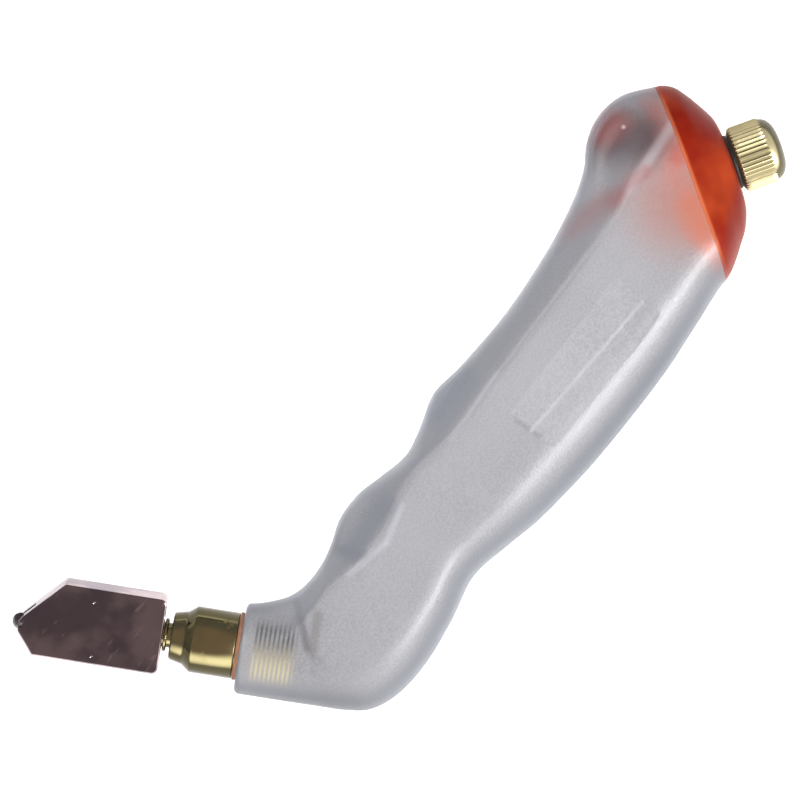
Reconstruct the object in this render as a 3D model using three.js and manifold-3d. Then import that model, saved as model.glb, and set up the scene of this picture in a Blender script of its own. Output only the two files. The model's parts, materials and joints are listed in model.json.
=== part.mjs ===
// A hand-held glass cutter with a pistol grip that holds cutting oil, in millimetres.
//
// The tool lies on its right side: +X runs along the grip towards the filler screw, +Y towards
// the fingers, +Z up through the left side. The origin is under the middle of the tool.
//
// Three frames share the design, all with Z across the tool:
//   grip frame    origin at the nozzle's mouth, X along the grip, the mid-plane at z = 0
//   head frame    X out of the nozzle towards the wheel, Y towards the heel of the grip
//   cap frame     X out of the end cap along the filler screw
import * as THREE from "three";
import { mergeVertices } from "three/addons/utils/BufferGeometryUtils.js";
import Module from "manifold-3d";

const wasm = await Module();
wasm.setup();

// ---- driving dimensions -------------------------------------------------------------------

const HALF_THICKNESS = 12.4; // grip, from the mid-plane to the flat of each side
const GRIP_ORIGIN = new THREE.Vector3(-53.2, -2.3, HALF_THICKNESS);

const NOZZLE_ANGLE = THREE.MathUtils.degToRad(118); // nozzle axis from the grip's X
const CAP_ANGLE = THREE.MathUtils.degToRad(-33); // filler screw's axis from the grip's X
const CAP_ORIGIN = new THREE.Vector2(112.1, -14.1);
const AXIS_SHIFT = -0.3; // ferrule axis from the nozzle mouth's centre, along the head frame's Y

const WALL = 2.3;
const GAP = 0.1; // between pieces that meet
const SLIP = 0.07; // radial clearance of pieces that turn or slide
const ROUND = 28; // sides of a turned piece

const NOZZLE_BORE_R = 5.3;
const NOZZLE_BORE_DEPTH = 17;

const SPIGOT_CLEARANCE = 0.15;
const SPIGOT_WALL = 1.8;

const PANEL = { x: 60.8, y: -23.5, length: 30.1, width: 10.3, depth: 0.2 };

const FERRULE_R = 5.85;
const FERRULE_FRONT = 12.2; // nose end, from the nozzle's mouth
const FERRULE_BACK = -12;
const THREAD_CREST_R = 5.1;
const THREAD_ROOT_R = 4.65;
const THREAD_PITCH = 0.8;
const THREAD_RIDGES = 9;

const STEM_R = 2.2;
const STEM_TAIL_R = 1.5;
const STEM_FLANGE_R = 3.15;
const WICK_R = 0.55;
const CHAMBER_R = 3.4; // spring chamber in the ferrule
const CHAMBER_FRONT = 4.0;
const CLIP_BACK = -9.6;
const CLIP_THICKNESS = 0.6;

const SPRING_TURNS = 6.5;
const SPRING_R = 2.45;
const SPRING_WIRE_R = 0.3;

const HEAD_SWIVEL = THREE.MathUtils.degToRad(-14.4);
const HEAD = { back: 13.7, halfWidth: 6.88, thickness: 4.7, bevel: 0.3, corner: 0.9 };
const WHEEL = { x: 38.6, y: 1.66, r: 1.55, thickness: 1.0, boreR: 0.5 };
const WHEEL_SLOT = { width: 1.3, depth: 2.1 };

const FILLER_Y = 1.25; // filler screw's axis in the cap frame
const CAP_END = 7.9;
const KNOB = { r: 5.85, back: 8.85, shoulder: 14.7, front: 17.3, ridges: 36, ridgeHeight: 0.28 };
const SCREW_R = 2.9;
const SCREW_BACK = 0.6;
const VENT_R = 0.7;
const VENT_HOLE = { x: 10.95, r: 0.35, turn: THREE.MathUtils.degToRad(-46) };

// ---- materials ----------------------------------------------------------------------------

const finish = (color, roughness, metalness) =>
  new THREE.MeshStandardMaterial({ color, roughness, metalness });
const FROSTED_PLASTIC = finish(0xb9bcc4, 0.5, 0);
const RED_PLASTIC = finish(0xc8401e, 0.35, 0);
const BRASS = finish(0xb59a4c, 0.2, 1);
const CHROME = finish(0x8c8484, 0.08, 1);
const CARBIDE = finish(0x3b3d40, 0.3, 1);
const SPRING_STEEL = finish(0x9fa3a8, 0.3, 1);
const BLACK_RUBBER = finish(0x141414, 0.7, 0);
const ORANGE_FIBRE = finish(0xc86a34, 0.8, 0);
const FELT = finish(0xe6e0d0, 1, 0);

// ---- solids -------------------------------------------------------------------------------

// A closed three.js geometry as a manifold solid.
function solid(geometry) {
  const bare = geometry.clone();
  bare.deleteAttribute("normal");
  bare.deleteAttribute("uv");
  const merged = mergeVertices(bare, 1e-4);
  return new wasm.Manifold(
    new wasm.Mesh({
      numProp: 3,
      vertProperties: new Float32Array(merged.attributes.position.array),
      triVerts: new Uint32Array(merged.index.array),
    }),
  );
}

// A manifold solid as a three.js geometry with flat faces.
function geometryOf(made) {
  const mesh = made.getMesh();
  const geometry = new THREE.BufferGeometry();
  geometry.setAttribute("position", new THREE.BufferAttribute(mesh.vertProperties, 3));
  geometry.setIndex(new THREE.BufferAttribute(mesh.triVerts, 1));
  const flat = geometry.toNonIndexed();
  flat.computeVertexNormals();
  return flat;
}

const join = (first, ...others) =>
  geometryOf(others.reduce((made, other) => made.add(solid(other)), solid(first)));
const cut = (first, ...tools) =>
  geometryOf(tools.reduce((made, tool) => made.subtract(solid(tool)), solid(first)));

// A surface turned about X from [x, radius] points that run towards +X on the outside.
function turned(points, sides = ROUND) {
  const profile = points.map(([x, r]) => new THREE.Vector2(r, x));
  return new THREE.LatheGeometry(profile, sides).rotateZ(-Math.PI / 2);
}

// A tube along X: its section is a closed rectangle.
const ring = (back, front, inner, outer, sides = ROUND) =>
  turned([[back, inner], [back, outer], [front, outer], [front, inner], [back, inner]], sides);

// A rod along X, its ends on the axis.
const rod = (back, front, r, sides = ROUND) =>
  turned([[back, 0], [back, r], [front, r], [front, 0]], sides);

// A closed skin over rings of equal point counts, its two ends closed flat.
function skin(rings) {
  const count = rings[0].length;
  const points = rings.flat();
  const first = points.length;
  const middle = (ring) =>
    ring.reduce((sum, p) => sum.add(p), new THREE.Vector3()).divideScalar(ring.length);
  points.push(middle(rings[0]), middle(rings.at(-1)));
  const faces = [];
  for (let i = 0; i < count; i++) {
    const next = (i + 1) % count;
    for (let k = 0; k < rings.length - 1; k++) {
      const a = k * count;
      const b = a + count;
      faces.push(a + i, a + next, b + next, a + i, b + next, b + i);
    }
    const last = (rings.length - 1) * count;
    faces.push(first, next, i, first + 1, last + i, last + next);
  }
  return new THREE.BufferGeometry().setFromPoints(points).setIndex(faces);
}

// ---- the grip's form ----------------------------------------------------------------------

// A point of the head frame or of the cap frame, in the grip frame.
const headPoint = (x, y) => new THREE.Vector2(x, y).rotateAround(new THREE.Vector2(), NOZZLE_ANGLE);
const capPoint = (x, y) =>
  new THREE.Vector2(x, y).rotateAround(new THREE.Vector2(), CAP_ANGLE).add(CAP_ORIGIN);
const at = (x, y) => new THREE.Vector2(x, y);

// Sections from the nozzle's mouth to the end cap's face. Each is a slice across the grip from
// a front point, under the fingers, to a back point, in the palm. front and back round off over
// frontRound and backRound, and half is the half-thickness between them. crease is the exponent
// of the front rounding where it meets the side: 2 is an ellipse, and near 1 leaves a ridge.
// scoop is how deep the front rounding is hollowed between the front point and that ridge.
const section = (front, back, frontRound, backRound, half, crease, scoop) =>
  ({ fx: front.x, fy: front.y, bx: back.x, by: back.y, frontRound, backRound, half, crease, scoop });
const SECTIONS = [
  // nozzle
  section(headPoint(0, -7.95), headPoint(0, 7.95), 7.95, 7.95, 7.95, 2, 0),
  section(headPoint(-3, -8.6), headPoint(-4, 7.95), 8.2, 8.2, 8.1, 2, 0),
  section(headPoint(-7, -10.3), headPoint(-9, 7.95), 7.6, 8.6, 8.8, 1.7, 0.3),
  // bend and heel
  section(at(16, -2.5), headPoint(-14.5, 7.9), 5.2, 8.8, 9.8, 1.4, 0.8),
  section(at(20.5, -2.5), headPoint(-20, 7.8), 4.6, 8.8, 10.7, 1.4, 0.4),
  section(at(24.5, -1.6), at(5.4, -24.8), 6.6, 8.8, 11.3, 1.3, 1.4),
  section(at(28, -0.4), at(10.5, -27), 8.6, 8.6, 11.7, 1.25, 1.8),
  // first finger rest, groove and second rest
  section(at(31.2, -0.1), at(17.5, -27.6), 8.9, 8.2, 11.9, 1.25, 1.6),
  section(at(34.8, -0.4), at(26, -26.7), 7.4, 7.4, 12, 1.25, 1.1),
  section(at(39, -1.6), at(34.5, -25.1), 4.4, 6.6, 12, 1.4, 0.4),
  section(at(44.5, -2.8), at(42, -26.5), 2.8, 7, 12.1, 1.5, 0),
  section(at(50, -1.8), at(49, -28.2), 4.8, 8, 12.3, 1.35, 0.8),
  section(at(56, -0.2), at(56, -29.2), 7.2, 8.8, HALF_THICKNESS, 1.25, 1.4),
  // palm swell
  section(at(63, -1.1), at(64, -30), 6, 9.3, HALF_THICKNESS, 1.35, 0.7),
  section(at(74.5, -1.8), at(75, -30.4), 5.4, 9.2, HALF_THICKNESS, 1.5, 0.3),
  section(at(87, -1.1), at(84, -30.4), 6.2, 8.8, HALF_THICKNESS, 1.45, 0.4),
  // pommel
  section(at(96, 0.3), at(89.5, -30), 7.8, 8.6, HALF_THICKNESS, 1.35, 0.9),
  section(at(102.5, 2.2), at(93.5, -29.7), 10, 8.2, HALF_THICKNESS, 1.25, 1.6),
  section(at(107.5, 5), at(96.3, -29.45), 12.4, 8, HALF_THICKNESS, 1.2, 2.3),
  section(at(112.5, 6), at(98.6, -29.25), 13.4, 8, 12.3, 1.2, 2.2),
  section(at(117.5, 4.8), at(100.5, -29.1), 12.8, 8, 12.15, 1.25, 1.2),
  section(capPoint(0, 18.25), capPoint(0, -17.95), 11.8, 8, 11.9, 1.35, 0.4),
  // end cap
  section(capPoint(1.5, 17.95), capPoint(1.5, -16.8), 11, 8, 11.5, 1.45, 0.2),
  section(capPoint(3.2, 16.9), capPoint(3.2, -14.9), 10.4, 8, 10.6, 1.6, 0),
  section(capPoint(4.8, 14.8), capPoint(4.8, -12.8), 9.6, 8, 9.4, 1.75, 0),
  section(capPoint(6.35, 12.2), capPoint(6.35, -10.7), 8.8, 8, 8.2, 1.85, 0),
  section(capPoint(7.5, 10), capPoint(7.5, -8.2), 8, 7.4, 7.2, 1.9, 0),
  section(capPoint(CAP_END, 8.6), capPoint(CAP_END, -6.6), 7.6, 7.4, 6.4, 2, 0),
];
const SEAM = 21; // index of the section where grip and cap meet
const SCOOP_SPREAD = 1.1; // the scoop ends this much before the ridge
const CAP_FACE = SECTIONS.length - 1;

// The section at a place between the listed ones, on a smooth curve through them.
function sectionAt(place) {
  const i = Math.min(Math.max(Math.floor(place), 0), SECTIONS.length - 2);
  const t = place - i;
  const near = (k) => SECTIONS[Math.min(Math.max(k, 0), SECTIONS.length - 1)];
  const [p, q, r, s] = [near(i - 1), near(i), near(i + 1), near(i + 2)];
  const made = {};
  for (const key of Object.keys(q)) {
    const [a, b, c, d] = [p[key], q[key], r[key], s[key]];
    made[key] =
      b + (t * (c - a + t * (2 * a - 5 * b + 4 * c - d + t * (3 * (b - c) + d - a)))) / 2;
  }
  made.half = Math.min(made.half, HALF_THICKNESS);
  made.scoop = Math.max(made.scoop, 0);
  return made;
}

// The closed ring of points round a section, drawn in by an inset.
function ringAt(place, inset, cells) {
  const s = sectionAt(place);
  const front = new THREE.Vector2(s.fx, s.fy);
  const along = new THREE.Vector2(s.bx, s.by).sub(front);
  const length = along.length() - 2 * inset;
  along.normalize();
  const half = s.half - inset;
  const frontRound = Math.min(Math.max(s.frontRound - inset / 2, 1), length / 2);
  const backRound = Math.min(Math.max(s.backRound - inset / 2, 1), length / 2);
  const side = [];
  for (let i = 0; i <= cells.round; i++) {
    const turn = (i / cells.round) * (Math.PI / 2);
    const share = 1 - Math.cos(turn) ** (2 / s.crease);
    const hollow = s.scoop * Math.sin(Math.PI * Math.min(share * SCOOP_SPREAD, 1)) ** 2;
    side.push([frontRound * share, half * Math.sin(turn) - hollow]);
  }
  for (let i = 1; i < cells.flat; i++)
    side.push([frontRound + ((length - frontRound - backRound) * i) / cells.flat, half]);
  for (let i = cells.round; i >= 0; i--) {
    const turn = (i / cells.round) * (Math.PI / 2);
    side.push([length - backRound * (1 - Math.cos(turn)), half * Math.sin(turn)]);
  }
  const point = ([reach, z], sign) => {
    const spot = along.clone().multiplyScalar(reach + inset).add(front);
    return new THREE.Vector3(spot.x, spot.y, sign * z);
  };
  const near = side.map((p) => point(p, 1));
  const far = side.slice(1, -1).reverse().map((p) => point(p, -1));
  return [...near, ...far];
}

// The grip's form between two places, drawn in by an inset.
function form(from, to, inset, cells) {
  const steps = Math.max(2, Math.round((to - from) * cells.perSection));
  const rings = [];
  for (let i = 0; i <= steps; i++)
    rings.push(ringAt(from + ((to - from) * i) / steps, inset, cells));
  return skin(rings);
}

const OUTSIDE = { round: 6, flat: 3, perSection: 1.6 };
const INSIDE = { round: 4, flat: 2, perSection: 1 };

// ---- groups -------------------------------------------------------------------------------

const tool = new THREE.Group();
const grip = new THREE.Group();
grip.position.copy(GRIP_ORIGIN);
tool.add(grip);

const head = new THREE.Group();
head.rotation.z = NOZZLE_ANGLE;
const headShift = headPoint(0, AXIS_SHIFT);
head.position.set(headShift.x, headShift.y, 0);
grip.add(head);

const swivel = new THREE.Group();
swivel.rotation.x = HEAD_SWIVEL;
head.add(swivel);

const cap = new THREE.Group();
cap.rotation.z = CAP_ANGLE;
cap.position.set(CAP_ORIGIN.x, CAP_ORIGIN.y, 0);
grip.add(cap);

const filler = new THREE.Group();
filler.position.y = FILLER_Y;
cap.add(filler);

function piece(name, geometry, material, group) {
  const mesh = new THREE.Mesh(geometry, material);
  mesh.name = name;
  group.add(mesh);
  return mesh;
}

// A geometry of the head frame or the filler's frame, moved into the grip frame.
const fromHead = (geometry) =>
  geometry.rotateZ(NOZZLE_ANGLE).translate(headShift.x, headShift.y, 0);
const fromFiller = (geometry) =>
  geometry.translate(0, FILLER_Y, 0).rotateZ(CAP_ANGLE).translate(CAP_ORIGIN.x, CAP_ORIGIN.y, 0);

// ---- grip shells --------------------------------------------------------------------------

{
  const CAVITY_START = 3.1;
  const SEAM_GAP = 0.03; // in sections, about the width of the joint line
  const body = form(0, SEAM - SEAM_GAP, 0, OUTSIDE);
  const reservoir = form(CAVITY_START, SEAM + 0.2, WALL, INSIDE);
  const bore = fromHead(rod(-NOZZLE_BORE_DEPTH, 2, NOZZLE_BORE_R));
  const hollow = cut(body, reservoir, bore);
  const { x, y, length, width, depth } = PANEL;
  const recess = new THREE.BoxGeometry(length, width, 2).translate(
    x + length / 2,
    y + width / 2,
    HALF_THICKNESS - depth + 1,
  );
  const REACH = 400;
  for (const [name, side] of [["grip_shell_left", 1], ["grip_shell_right", -1]]) {
    const beyond = new THREE.BoxGeometry(REACH, REACH, REACH / 2).translate(
      0,
      0,
      side * (GAP / 2 - REACH / 4),
    );
    const tools = side > 0 ? [beyond, recess] : [beyond];
    piece(name, cut(hollow, ...tools), FROSTED_PLASTIC, grip);
  }
}

// ---- end cap ------------------------------------------------------------------------------

const BUSH_R = 4.6;
const BUSH_BACK = 2.2;
{
  const SPIGOT_START = SEAM - 1.7;
  const outer = form(SEAM, CAP_FACE, 0, OUTSIDE);
  const spigot = form(SPIGOT_START, SEAM + 0.3, WALL + SPIGOT_CLEARANCE, INSIDE);
  const inside = WALL + SPIGOT_CLEARANCE + SPIGOT_WALL;
  const hollow = form(SPIGOT_START - 0.2, SEAM + 2, inside, INSIDE);
  const boss = fromFiller(rod(BUSH_BACK, CAP_END - 1, BUSH_R + 1.6));
  const bore = fromFiller(rod(BUSH_BACK - 5, CAP_END + 1, BUSH_R));
  const shell = join(cut(join(outer, spigot), hollow), boss);
  piece("end_cap", cut(shell, bore), RED_PLASTIC, grip);
}

// ---- filler -------------------------------------------------------------------------------

{
  const bushFront = CAP_END - 0.05;
  piece("filler_bush", ring(BUSH_BACK, bushFront, SCREW_R + SLIP, BUSH_R - 0.05), BRASS, filler);
  piece(
    "filler_gasket",
    ring(CAP_END + GAP, KNOB.back - GAP, SCREW_R + SLIP, 4.9),
    BLACK_RUBBER,
    filler,
  );
}

// The screw's knob: a ring of ridges, a smooth collar and a domed end.
function knobSkin() {
  const { r, back, shoulder, front, ridges, ridgeHeight } = KNOB;
  const dome = front - shoulder - 0.4;
  const profile = [
    [back, r - 0.7, 0],
    [back + 0.4, r, ridgeHeight],
    [shoulder - 0.3, r, ridgeHeight],
    [shoulder, r - 0.3, 0],
    [shoulder + 0.4, r - 0.1, 0],
  ];
  for (const turn of [0.3, 0.6, 0.85].map((part) => (part * Math.PI) / 2))
    profile.push([shoulder + 0.4 + dome * Math.sin(turn), (r - 0.1) * Math.cos(turn) ** 0.6, 0]);
  const count = 2 * ridges;
  return skin(
    profile.map(([x, radius, height]) =>
      Array.from({ length: count }, (_, i) => {
        const turn = (-i / count) * 2 * Math.PI;
        const reach = radius - (i % 2) * height;
        return new THREE.Vector3(x, reach * Math.sin(turn), reach * Math.cos(turn));
      }),
    ),
  );
}

{
  const shank = turned([
    [SCREW_BACK, 0],
    [SCREW_BACK, SCREW_R - 0.5],
    [SCREW_BACK + 0.5, SCREW_R],
    [KNOB.back + 0.5, SCREW_R],
    [KNOB.back + 0.5, 0],
  ]);
  const vent = rod(SCREW_BACK - 1, VENT_HOLE.x + 0.3, VENT_R, 16);
  const side = new THREE.CylinderGeometry(VENT_HOLE.r, VENT_HOLE.r, KNOB.r + 1, 12)
    .translate(0, -(KNOB.r + 1) / 2, 0)
    .rotateX(VENT_HOLE.turn)
    .translate(VENT_HOLE.x, 0, 0);
  piece("filler_screw", cut(join(knobSkin(), shank), vent, side), BRASS, filler);
}

// ---- ferrule and valve --------------------------------------------------------------------

{
  const ridges = [];
  const threadBack = -1.6 - THREAD_RIDGES * THREAD_PITCH;
  for (let i = 0; i < THREAD_RIDGES; i++) {
    const x = threadBack + i * THREAD_PITCH;
    ridges.push([x, THREAD_ROOT_R], [x + THREAD_PITCH / 2, THREAD_CREST_R]);
  }
  const outside = [
    [FERRULE_BACK, THREAD_ROOT_R - 0.4],
    [FERRULE_BACK + 0.4, THREAD_ROOT_R],
    ...ridges,
    [-1.6, THREAD_ROOT_R],
    [0.8, THREAD_ROOT_R],
    [0.8, FERRULE_R - 0.15],
    [0.95, FERRULE_R],
    [8.2, FERRULE_R],
    [8.4, FERRULE_R - 0.1],
    [9.7, 4.75],
    [10.1, 4.65],
    [FERRULE_FRONT - 0.2, 4.1],
    [FERRULE_FRONT, 3.9],
  ];
  const boreR = STEM_R + SLIP;
  const inside = [
    [FERRULE_FRONT, boreR],
    [9.3, boreR],
    [9.3, 3.3],
    [8.2, 3.3],
    [8.2, boreR],
    [CHAMBER_FRONT, boreR],
    [CHAMBER_FRONT, CHAMBER_R],
    [CLIP_BACK + CLIP_THICKNESS + 0.05, CHAMBER_R],
    [CLIP_BACK + CLIP_THICKNESS + 0.05, CHAMBER_R + 0.45],
    [CLIP_BACK - 0.05, CHAMBER_R + 0.45],
    [CLIP_BACK - 0.05, CHAMBER_R],
    [FERRULE_BACK, CHAMBER_R],
    [FERRULE_BACK, THREAD_ROOT_R - 0.4],
  ];
  piece("ferrule", turned([...outside, ...inside]), BRASS, head);
  piece("ferrule_gasket", ring(GAP, 0.8 - GAP, THREAD_ROOT_R + 0.15, 6.1), ORANGE_FIBRE, head);

  const oRing = Array.from({ length: 9 }, (_, i) => {
    const turn = (i / 8) * 2 * Math.PI;
    return [8.75 - 0.45 * Math.cos(turn), 2.78 + 0.45 * Math.sin(turn)];
  });
  piece("stem_o_ring", turned(oRing, 24), BLACK_RUBBER, head);

  // An open ring in its groove, with round eyes left out.
  const clipArc = new THREE.Shape();
  const OPENING = 0.45;
  clipArc.absarc(0, 0, CHAMBER_R + 0.35, OPENING, 2 * Math.PI - OPENING, false);
  clipArc.absarc(0, 0, CHAMBER_R - 0.75, 2 * Math.PI - OPENING, OPENING, true);
  clipArc.closePath();
  const clip = new THREE.ExtrudeGeometry(clipArc, {
    depth: CLIP_THICKNESS,
    bevelEnabled: false,
    curveSegments: 24,
  });
  clip.rotateY(Math.PI / 2).translate(CLIP_BACK, 0, 0);
  piece("retaining_clip", clip, SPRING_STEEL, head);

  const washerBack = CLIP_BACK + CLIP_THICKNESS + GAP;
  const WASHER_THICKNESS = 0.5;
  piece(
    "spring_washer",
    ring(washerBack, washerBack + WASHER_THICKNESS, STEM_TAIL_R + 0.15, CHAMBER_R - 0.1),
    SPRING_STEEL,
    head,
  );

  const springBack = washerBack + WASHER_THICKNESS + SPRING_WIRE_R + GAP;
  const springFront = CHAMBER_FRONT - 1.6 - SPRING_WIRE_R - GAP;
  class Coil extends THREE.Curve {
    getPoint(t, target = new THREE.Vector3()) {
      const turn = t * SPRING_TURNS * 2 * Math.PI;
      return target.set(
        springBack + t * (springFront - springBack),
        SPRING_R * Math.cos(turn),
        SPRING_R * Math.sin(turn),
      );
    }
  }
  const wire = new THREE.Shape();
  wire.absarc(0, 0, SPRING_WIRE_R, 0, 2 * Math.PI, false);
  piece(
    "valve_spring",
    new THREE.ExtrudeGeometry(wire, {
      steps: Math.round(SPRING_TURNS * 12),
      extrudePath: new Coil(),
      curveSegments: 3,
      bevelEnabled: false,
    }),
    SPRING_STEEL,
    head,
  );
}

// ---- stem, head and wheel -----------------------------------------------------------------

const STEM_FRONT = 19.5;
const STEM_BACK = -10.4;
{
  const flangeFront = CHAMBER_FRONT - 0.8;
  const stem = turned([
    [STEM_BACK, 0],
    [STEM_BACK, STEM_TAIL_R],
    [flangeFront - 0.8, STEM_TAIL_R],
    [flangeFront - 0.8, STEM_FLANGE_R],
    [flangeFront, STEM_FLANGE_R],
    [flangeFront, STEM_R],
    [STEM_FRONT, STEM_R],
    [STEM_FRONT, 0],
  ]);
  const passage = rod(STEM_BACK - 1, STEM_FRONT + 1, WICK_R + SLIP, 16);
  piece("head_stem", cut(stem, passage), BRASS, swivel);
  piece("valve_seal", ring(flangeFront + 0.05, CHAMBER_FRONT - 0.1, STEM_R + 0.05, 3.2, 24),
    BLACK_RUBBER, swivel);
  piece("oil_wick", rod(STEM_BACK - 3, 35.6, WICK_R, 12), FELT, swivel);
  piece("stem_collar", turned([
    [12.9, STEM_R + 0.03],
    [12.9, 2.75],
    [13.05, 2.95],
    [13.4, 2.95],
    [13.55, 2.75],
    [13.55, STEM_R + 0.03],
    [12.9, STEM_R + 0.03],
  ], 24), BRASS, swivel);
}

{
  const { back, halfWidth, thickness, bevel, corner } = HEAD;
  const outline = new THREE.Shape();
  const w = halfWidth - bevel;
  const rear = back + bevel;
  outline.moveTo(rear, -w + corner);
  outline.quadraticCurveTo(rear, -w, rear + corner, -w);
  outline.lineTo(31.6, -w);
  outline.lineTo(38.15, 0.55);
  outline.lineTo(39.0, 1.66);
  outline.lineTo(38.75, 2.9);
  outline.lineTo(35.9, w);
  outline.lineTo(rear + corner, w);
  outline.quadraticCurveTo(rear, w, rear, w - corner);
  outline.closePath();
  const plate = new THREE.ExtrudeGeometry(outline, {
    depth: thickness - 2 * bevel,
    bevelEnabled: true,
    bevelThickness: bevel,
    bevelSize: bevel,
    bevelSegments: 2,
    curveSegments: 4,
  }).translate(0, 0, -thickness / 2 + bevel);
  const slot = new THREE.BoxGeometry(8, 10, WHEEL_SLOT.width).translate(
    WHEEL.x - WHEEL_SLOT.depth + 4,
    WHEEL.y,
    0,
  );
  const axleHole = new THREE.CylinderGeometry(WHEEL.boreR - 0.02, WHEEL.boreR - 0.02, 8, 16)
    .rotateX(Math.PI / 2)
    .translate(WHEEL.x, WHEEL.y, 0);
  const stemHole = rod(back - 2, STEM_FRONT + 0.2, STEM_R + 0.04, 24);
  const wickHole = rod(back, WHEEL.x - 1, WICK_R + SLIP, 16);
  piece("head_block", cut(plate, slot, axleHole, stemHole, wickHole), CHROME, swivel);

  const axle = new THREE.CylinderGeometry(WHEEL.boreR - 0.06, WHEEL.boreR - 0.06, 4.2, 16)
    .rotateX(Math.PI / 2)
    .translate(WHEEL.x, WHEEL.y, 0);
  piece("wheel_axle", axle, SPRING_STEEL, swivel);

  const { r, thickness: t, boreR } = WHEEL;
  const EDGE = 0.08;
  const wheelProfile = [
    [-t / 2, boreR],
    [-t / 2, r - 0.35],
    [-EDGE / 2, r],
    [EDGE / 2, r],
    [t / 2, r - 0.35],
    [t / 2, boreR],
    [-t / 2, boreR],
  ];
  const wheel = turned(wheelProfile, 28).rotateY(-Math.PI / 2).translate(WHEEL.x, WHEEL.y, 0);
  piece("cutting_wheel", wheel, CARBIDE, swivel);
}

export default tool;
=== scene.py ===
"""A pistol-grip glass cutter with an oil reservoir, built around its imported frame.

The tool lies on its right side on a pale table. Each sub-assembly is a class that holds its sizes
in millimetres, builds its meshes in its own frame and dresses them. Three local frames are read
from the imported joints: the head frame looks out of the nozzle along the stem, the swivel frame
turns with the head, and the cap frame looks out along the filler screw.
"""

from __future__ import annotations

import json
import logging
import math
from dataclasses import dataclass, field
from enum import Enum

import bmesh
import bpy
from mathutils import Matrix, Vector

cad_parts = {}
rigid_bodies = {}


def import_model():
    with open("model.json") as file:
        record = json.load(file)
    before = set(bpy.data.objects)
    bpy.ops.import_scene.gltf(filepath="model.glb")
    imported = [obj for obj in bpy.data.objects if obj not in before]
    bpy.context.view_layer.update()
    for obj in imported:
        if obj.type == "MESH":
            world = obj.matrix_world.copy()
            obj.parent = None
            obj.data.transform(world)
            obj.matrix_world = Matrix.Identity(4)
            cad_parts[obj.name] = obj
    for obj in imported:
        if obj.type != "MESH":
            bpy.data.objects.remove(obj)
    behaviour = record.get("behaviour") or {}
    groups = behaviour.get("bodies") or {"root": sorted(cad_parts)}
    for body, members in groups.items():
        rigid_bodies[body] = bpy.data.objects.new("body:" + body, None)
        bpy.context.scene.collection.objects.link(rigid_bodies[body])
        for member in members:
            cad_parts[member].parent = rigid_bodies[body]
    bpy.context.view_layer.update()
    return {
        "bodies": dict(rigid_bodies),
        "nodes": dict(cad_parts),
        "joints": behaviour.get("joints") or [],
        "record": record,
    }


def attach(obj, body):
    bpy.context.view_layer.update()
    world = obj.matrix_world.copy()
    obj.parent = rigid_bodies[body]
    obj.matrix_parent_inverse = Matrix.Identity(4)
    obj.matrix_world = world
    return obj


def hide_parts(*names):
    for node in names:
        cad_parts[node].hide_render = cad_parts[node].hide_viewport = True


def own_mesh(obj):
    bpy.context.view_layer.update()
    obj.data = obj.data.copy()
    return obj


LOG = logging.getLogger("glass_cutter")
MM = 0.001
Ring = list[Vector]
Profile = list[tuple[float, float]]


class Side(Enum):
    """The two sides of the tool, with the sign of their Z in the grip frame."""

    LEFT = 1
    RIGHT = -1


class Round(Enum):
    """How many facets a turned surface gets."""

    FINE = 160
    MEDIUM = 96
    SMALL = 56


# ---- frames --------------------------------------------------------------------------------


@dataclass(frozen=True)
class Placement:
    """A local frame in the row frame, with its origin in metres."""

    origin: Vector
    x: Vector
    z: Vector

    def matrix(self) -> Matrix:
        """The matrix from local millimetres to the row frame in metres."""
        x = self.x.normalized()
        y = self.z.cross(x).normalized()
        z = x.cross(y)
        turn = Matrix((x, y, z)).transposed().to_4x4()
        return Matrix.Translation(self.origin) @ turn @ Matrix.Scale(MM, 4)

    def shifted(self, x: float = 0.0, y: float = 0.0, z: float = 0.0) -> "Placement":
        """The same frame with its origin moved by local millimetres."""
        return Placement(self.matrix() @ Vector((x, y, z)), self.x, self.z)

    def upright(self, station: float = 0.0) -> "Placement":
        """The frame whose Z runs along this one's X, from a station in millimetres."""
        at = self.shifted(x=station)
        return Placement(at.origin, at.z.cross(at.x), at.x)


@dataclass(frozen=True)
class ToolFrames:
    """The tool's local frames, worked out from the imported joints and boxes."""

    grip: Placement
    head: Placement
    swivel: Placement
    cap: Placement
    wheel: Placement

    SWIVEL_STATION = 13.0
    AXIS_SHIFT = -0.3
    FILLER_STATION = 9.0
    FILLER_SHIFT = 1.25

    @classmethod
    def read(cls, frame: dict) -> "ToolFrames":
        """Reads the frames.


        Returns:
            The frames of grip, head, swivel, cap and wheel.
        """
        joints = {joint["name"]: joint for joint in frame["joints"]}
        up = Vector((0, 0, 1))
        out = Vector(joints["head_swivel"]["axis"])
        pivot = Vector(joints["head_swivel"]["pos_m"])
        head = Placement(pivot - out * cls.SWIVEL_STATION * MM, out, up)
        mouth = head.shifted(y=-cls.AXIS_SHIFT).origin
        wheel_axis = Vector(joints["wheel_spin"]["axis"])
        swivel = Placement(head.origin, out, wheel_axis)
        wheel = Placement(Vector(joints["wheel_spin"]["pos_m"]), out, wheel_axis)
        lift = Vector(joints["filler_turn"]["axis"])
        filler = Vector(joints["filler_turn"]["pos_m"])
        on_axis = Placement(filler - lift * cls.FILLER_STATION * MM, lift, up)
        return cls(
            grip=Placement(mouth, Vector((1, 0, 0)), up),
            head=head,
            swivel=swivel,
            cap=on_axis.shifted(y=-cls.FILLER_SHIFT),
            wheel=wheel,
        )


# ---- mesh helpers --------------------------------------------------------------------------


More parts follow.
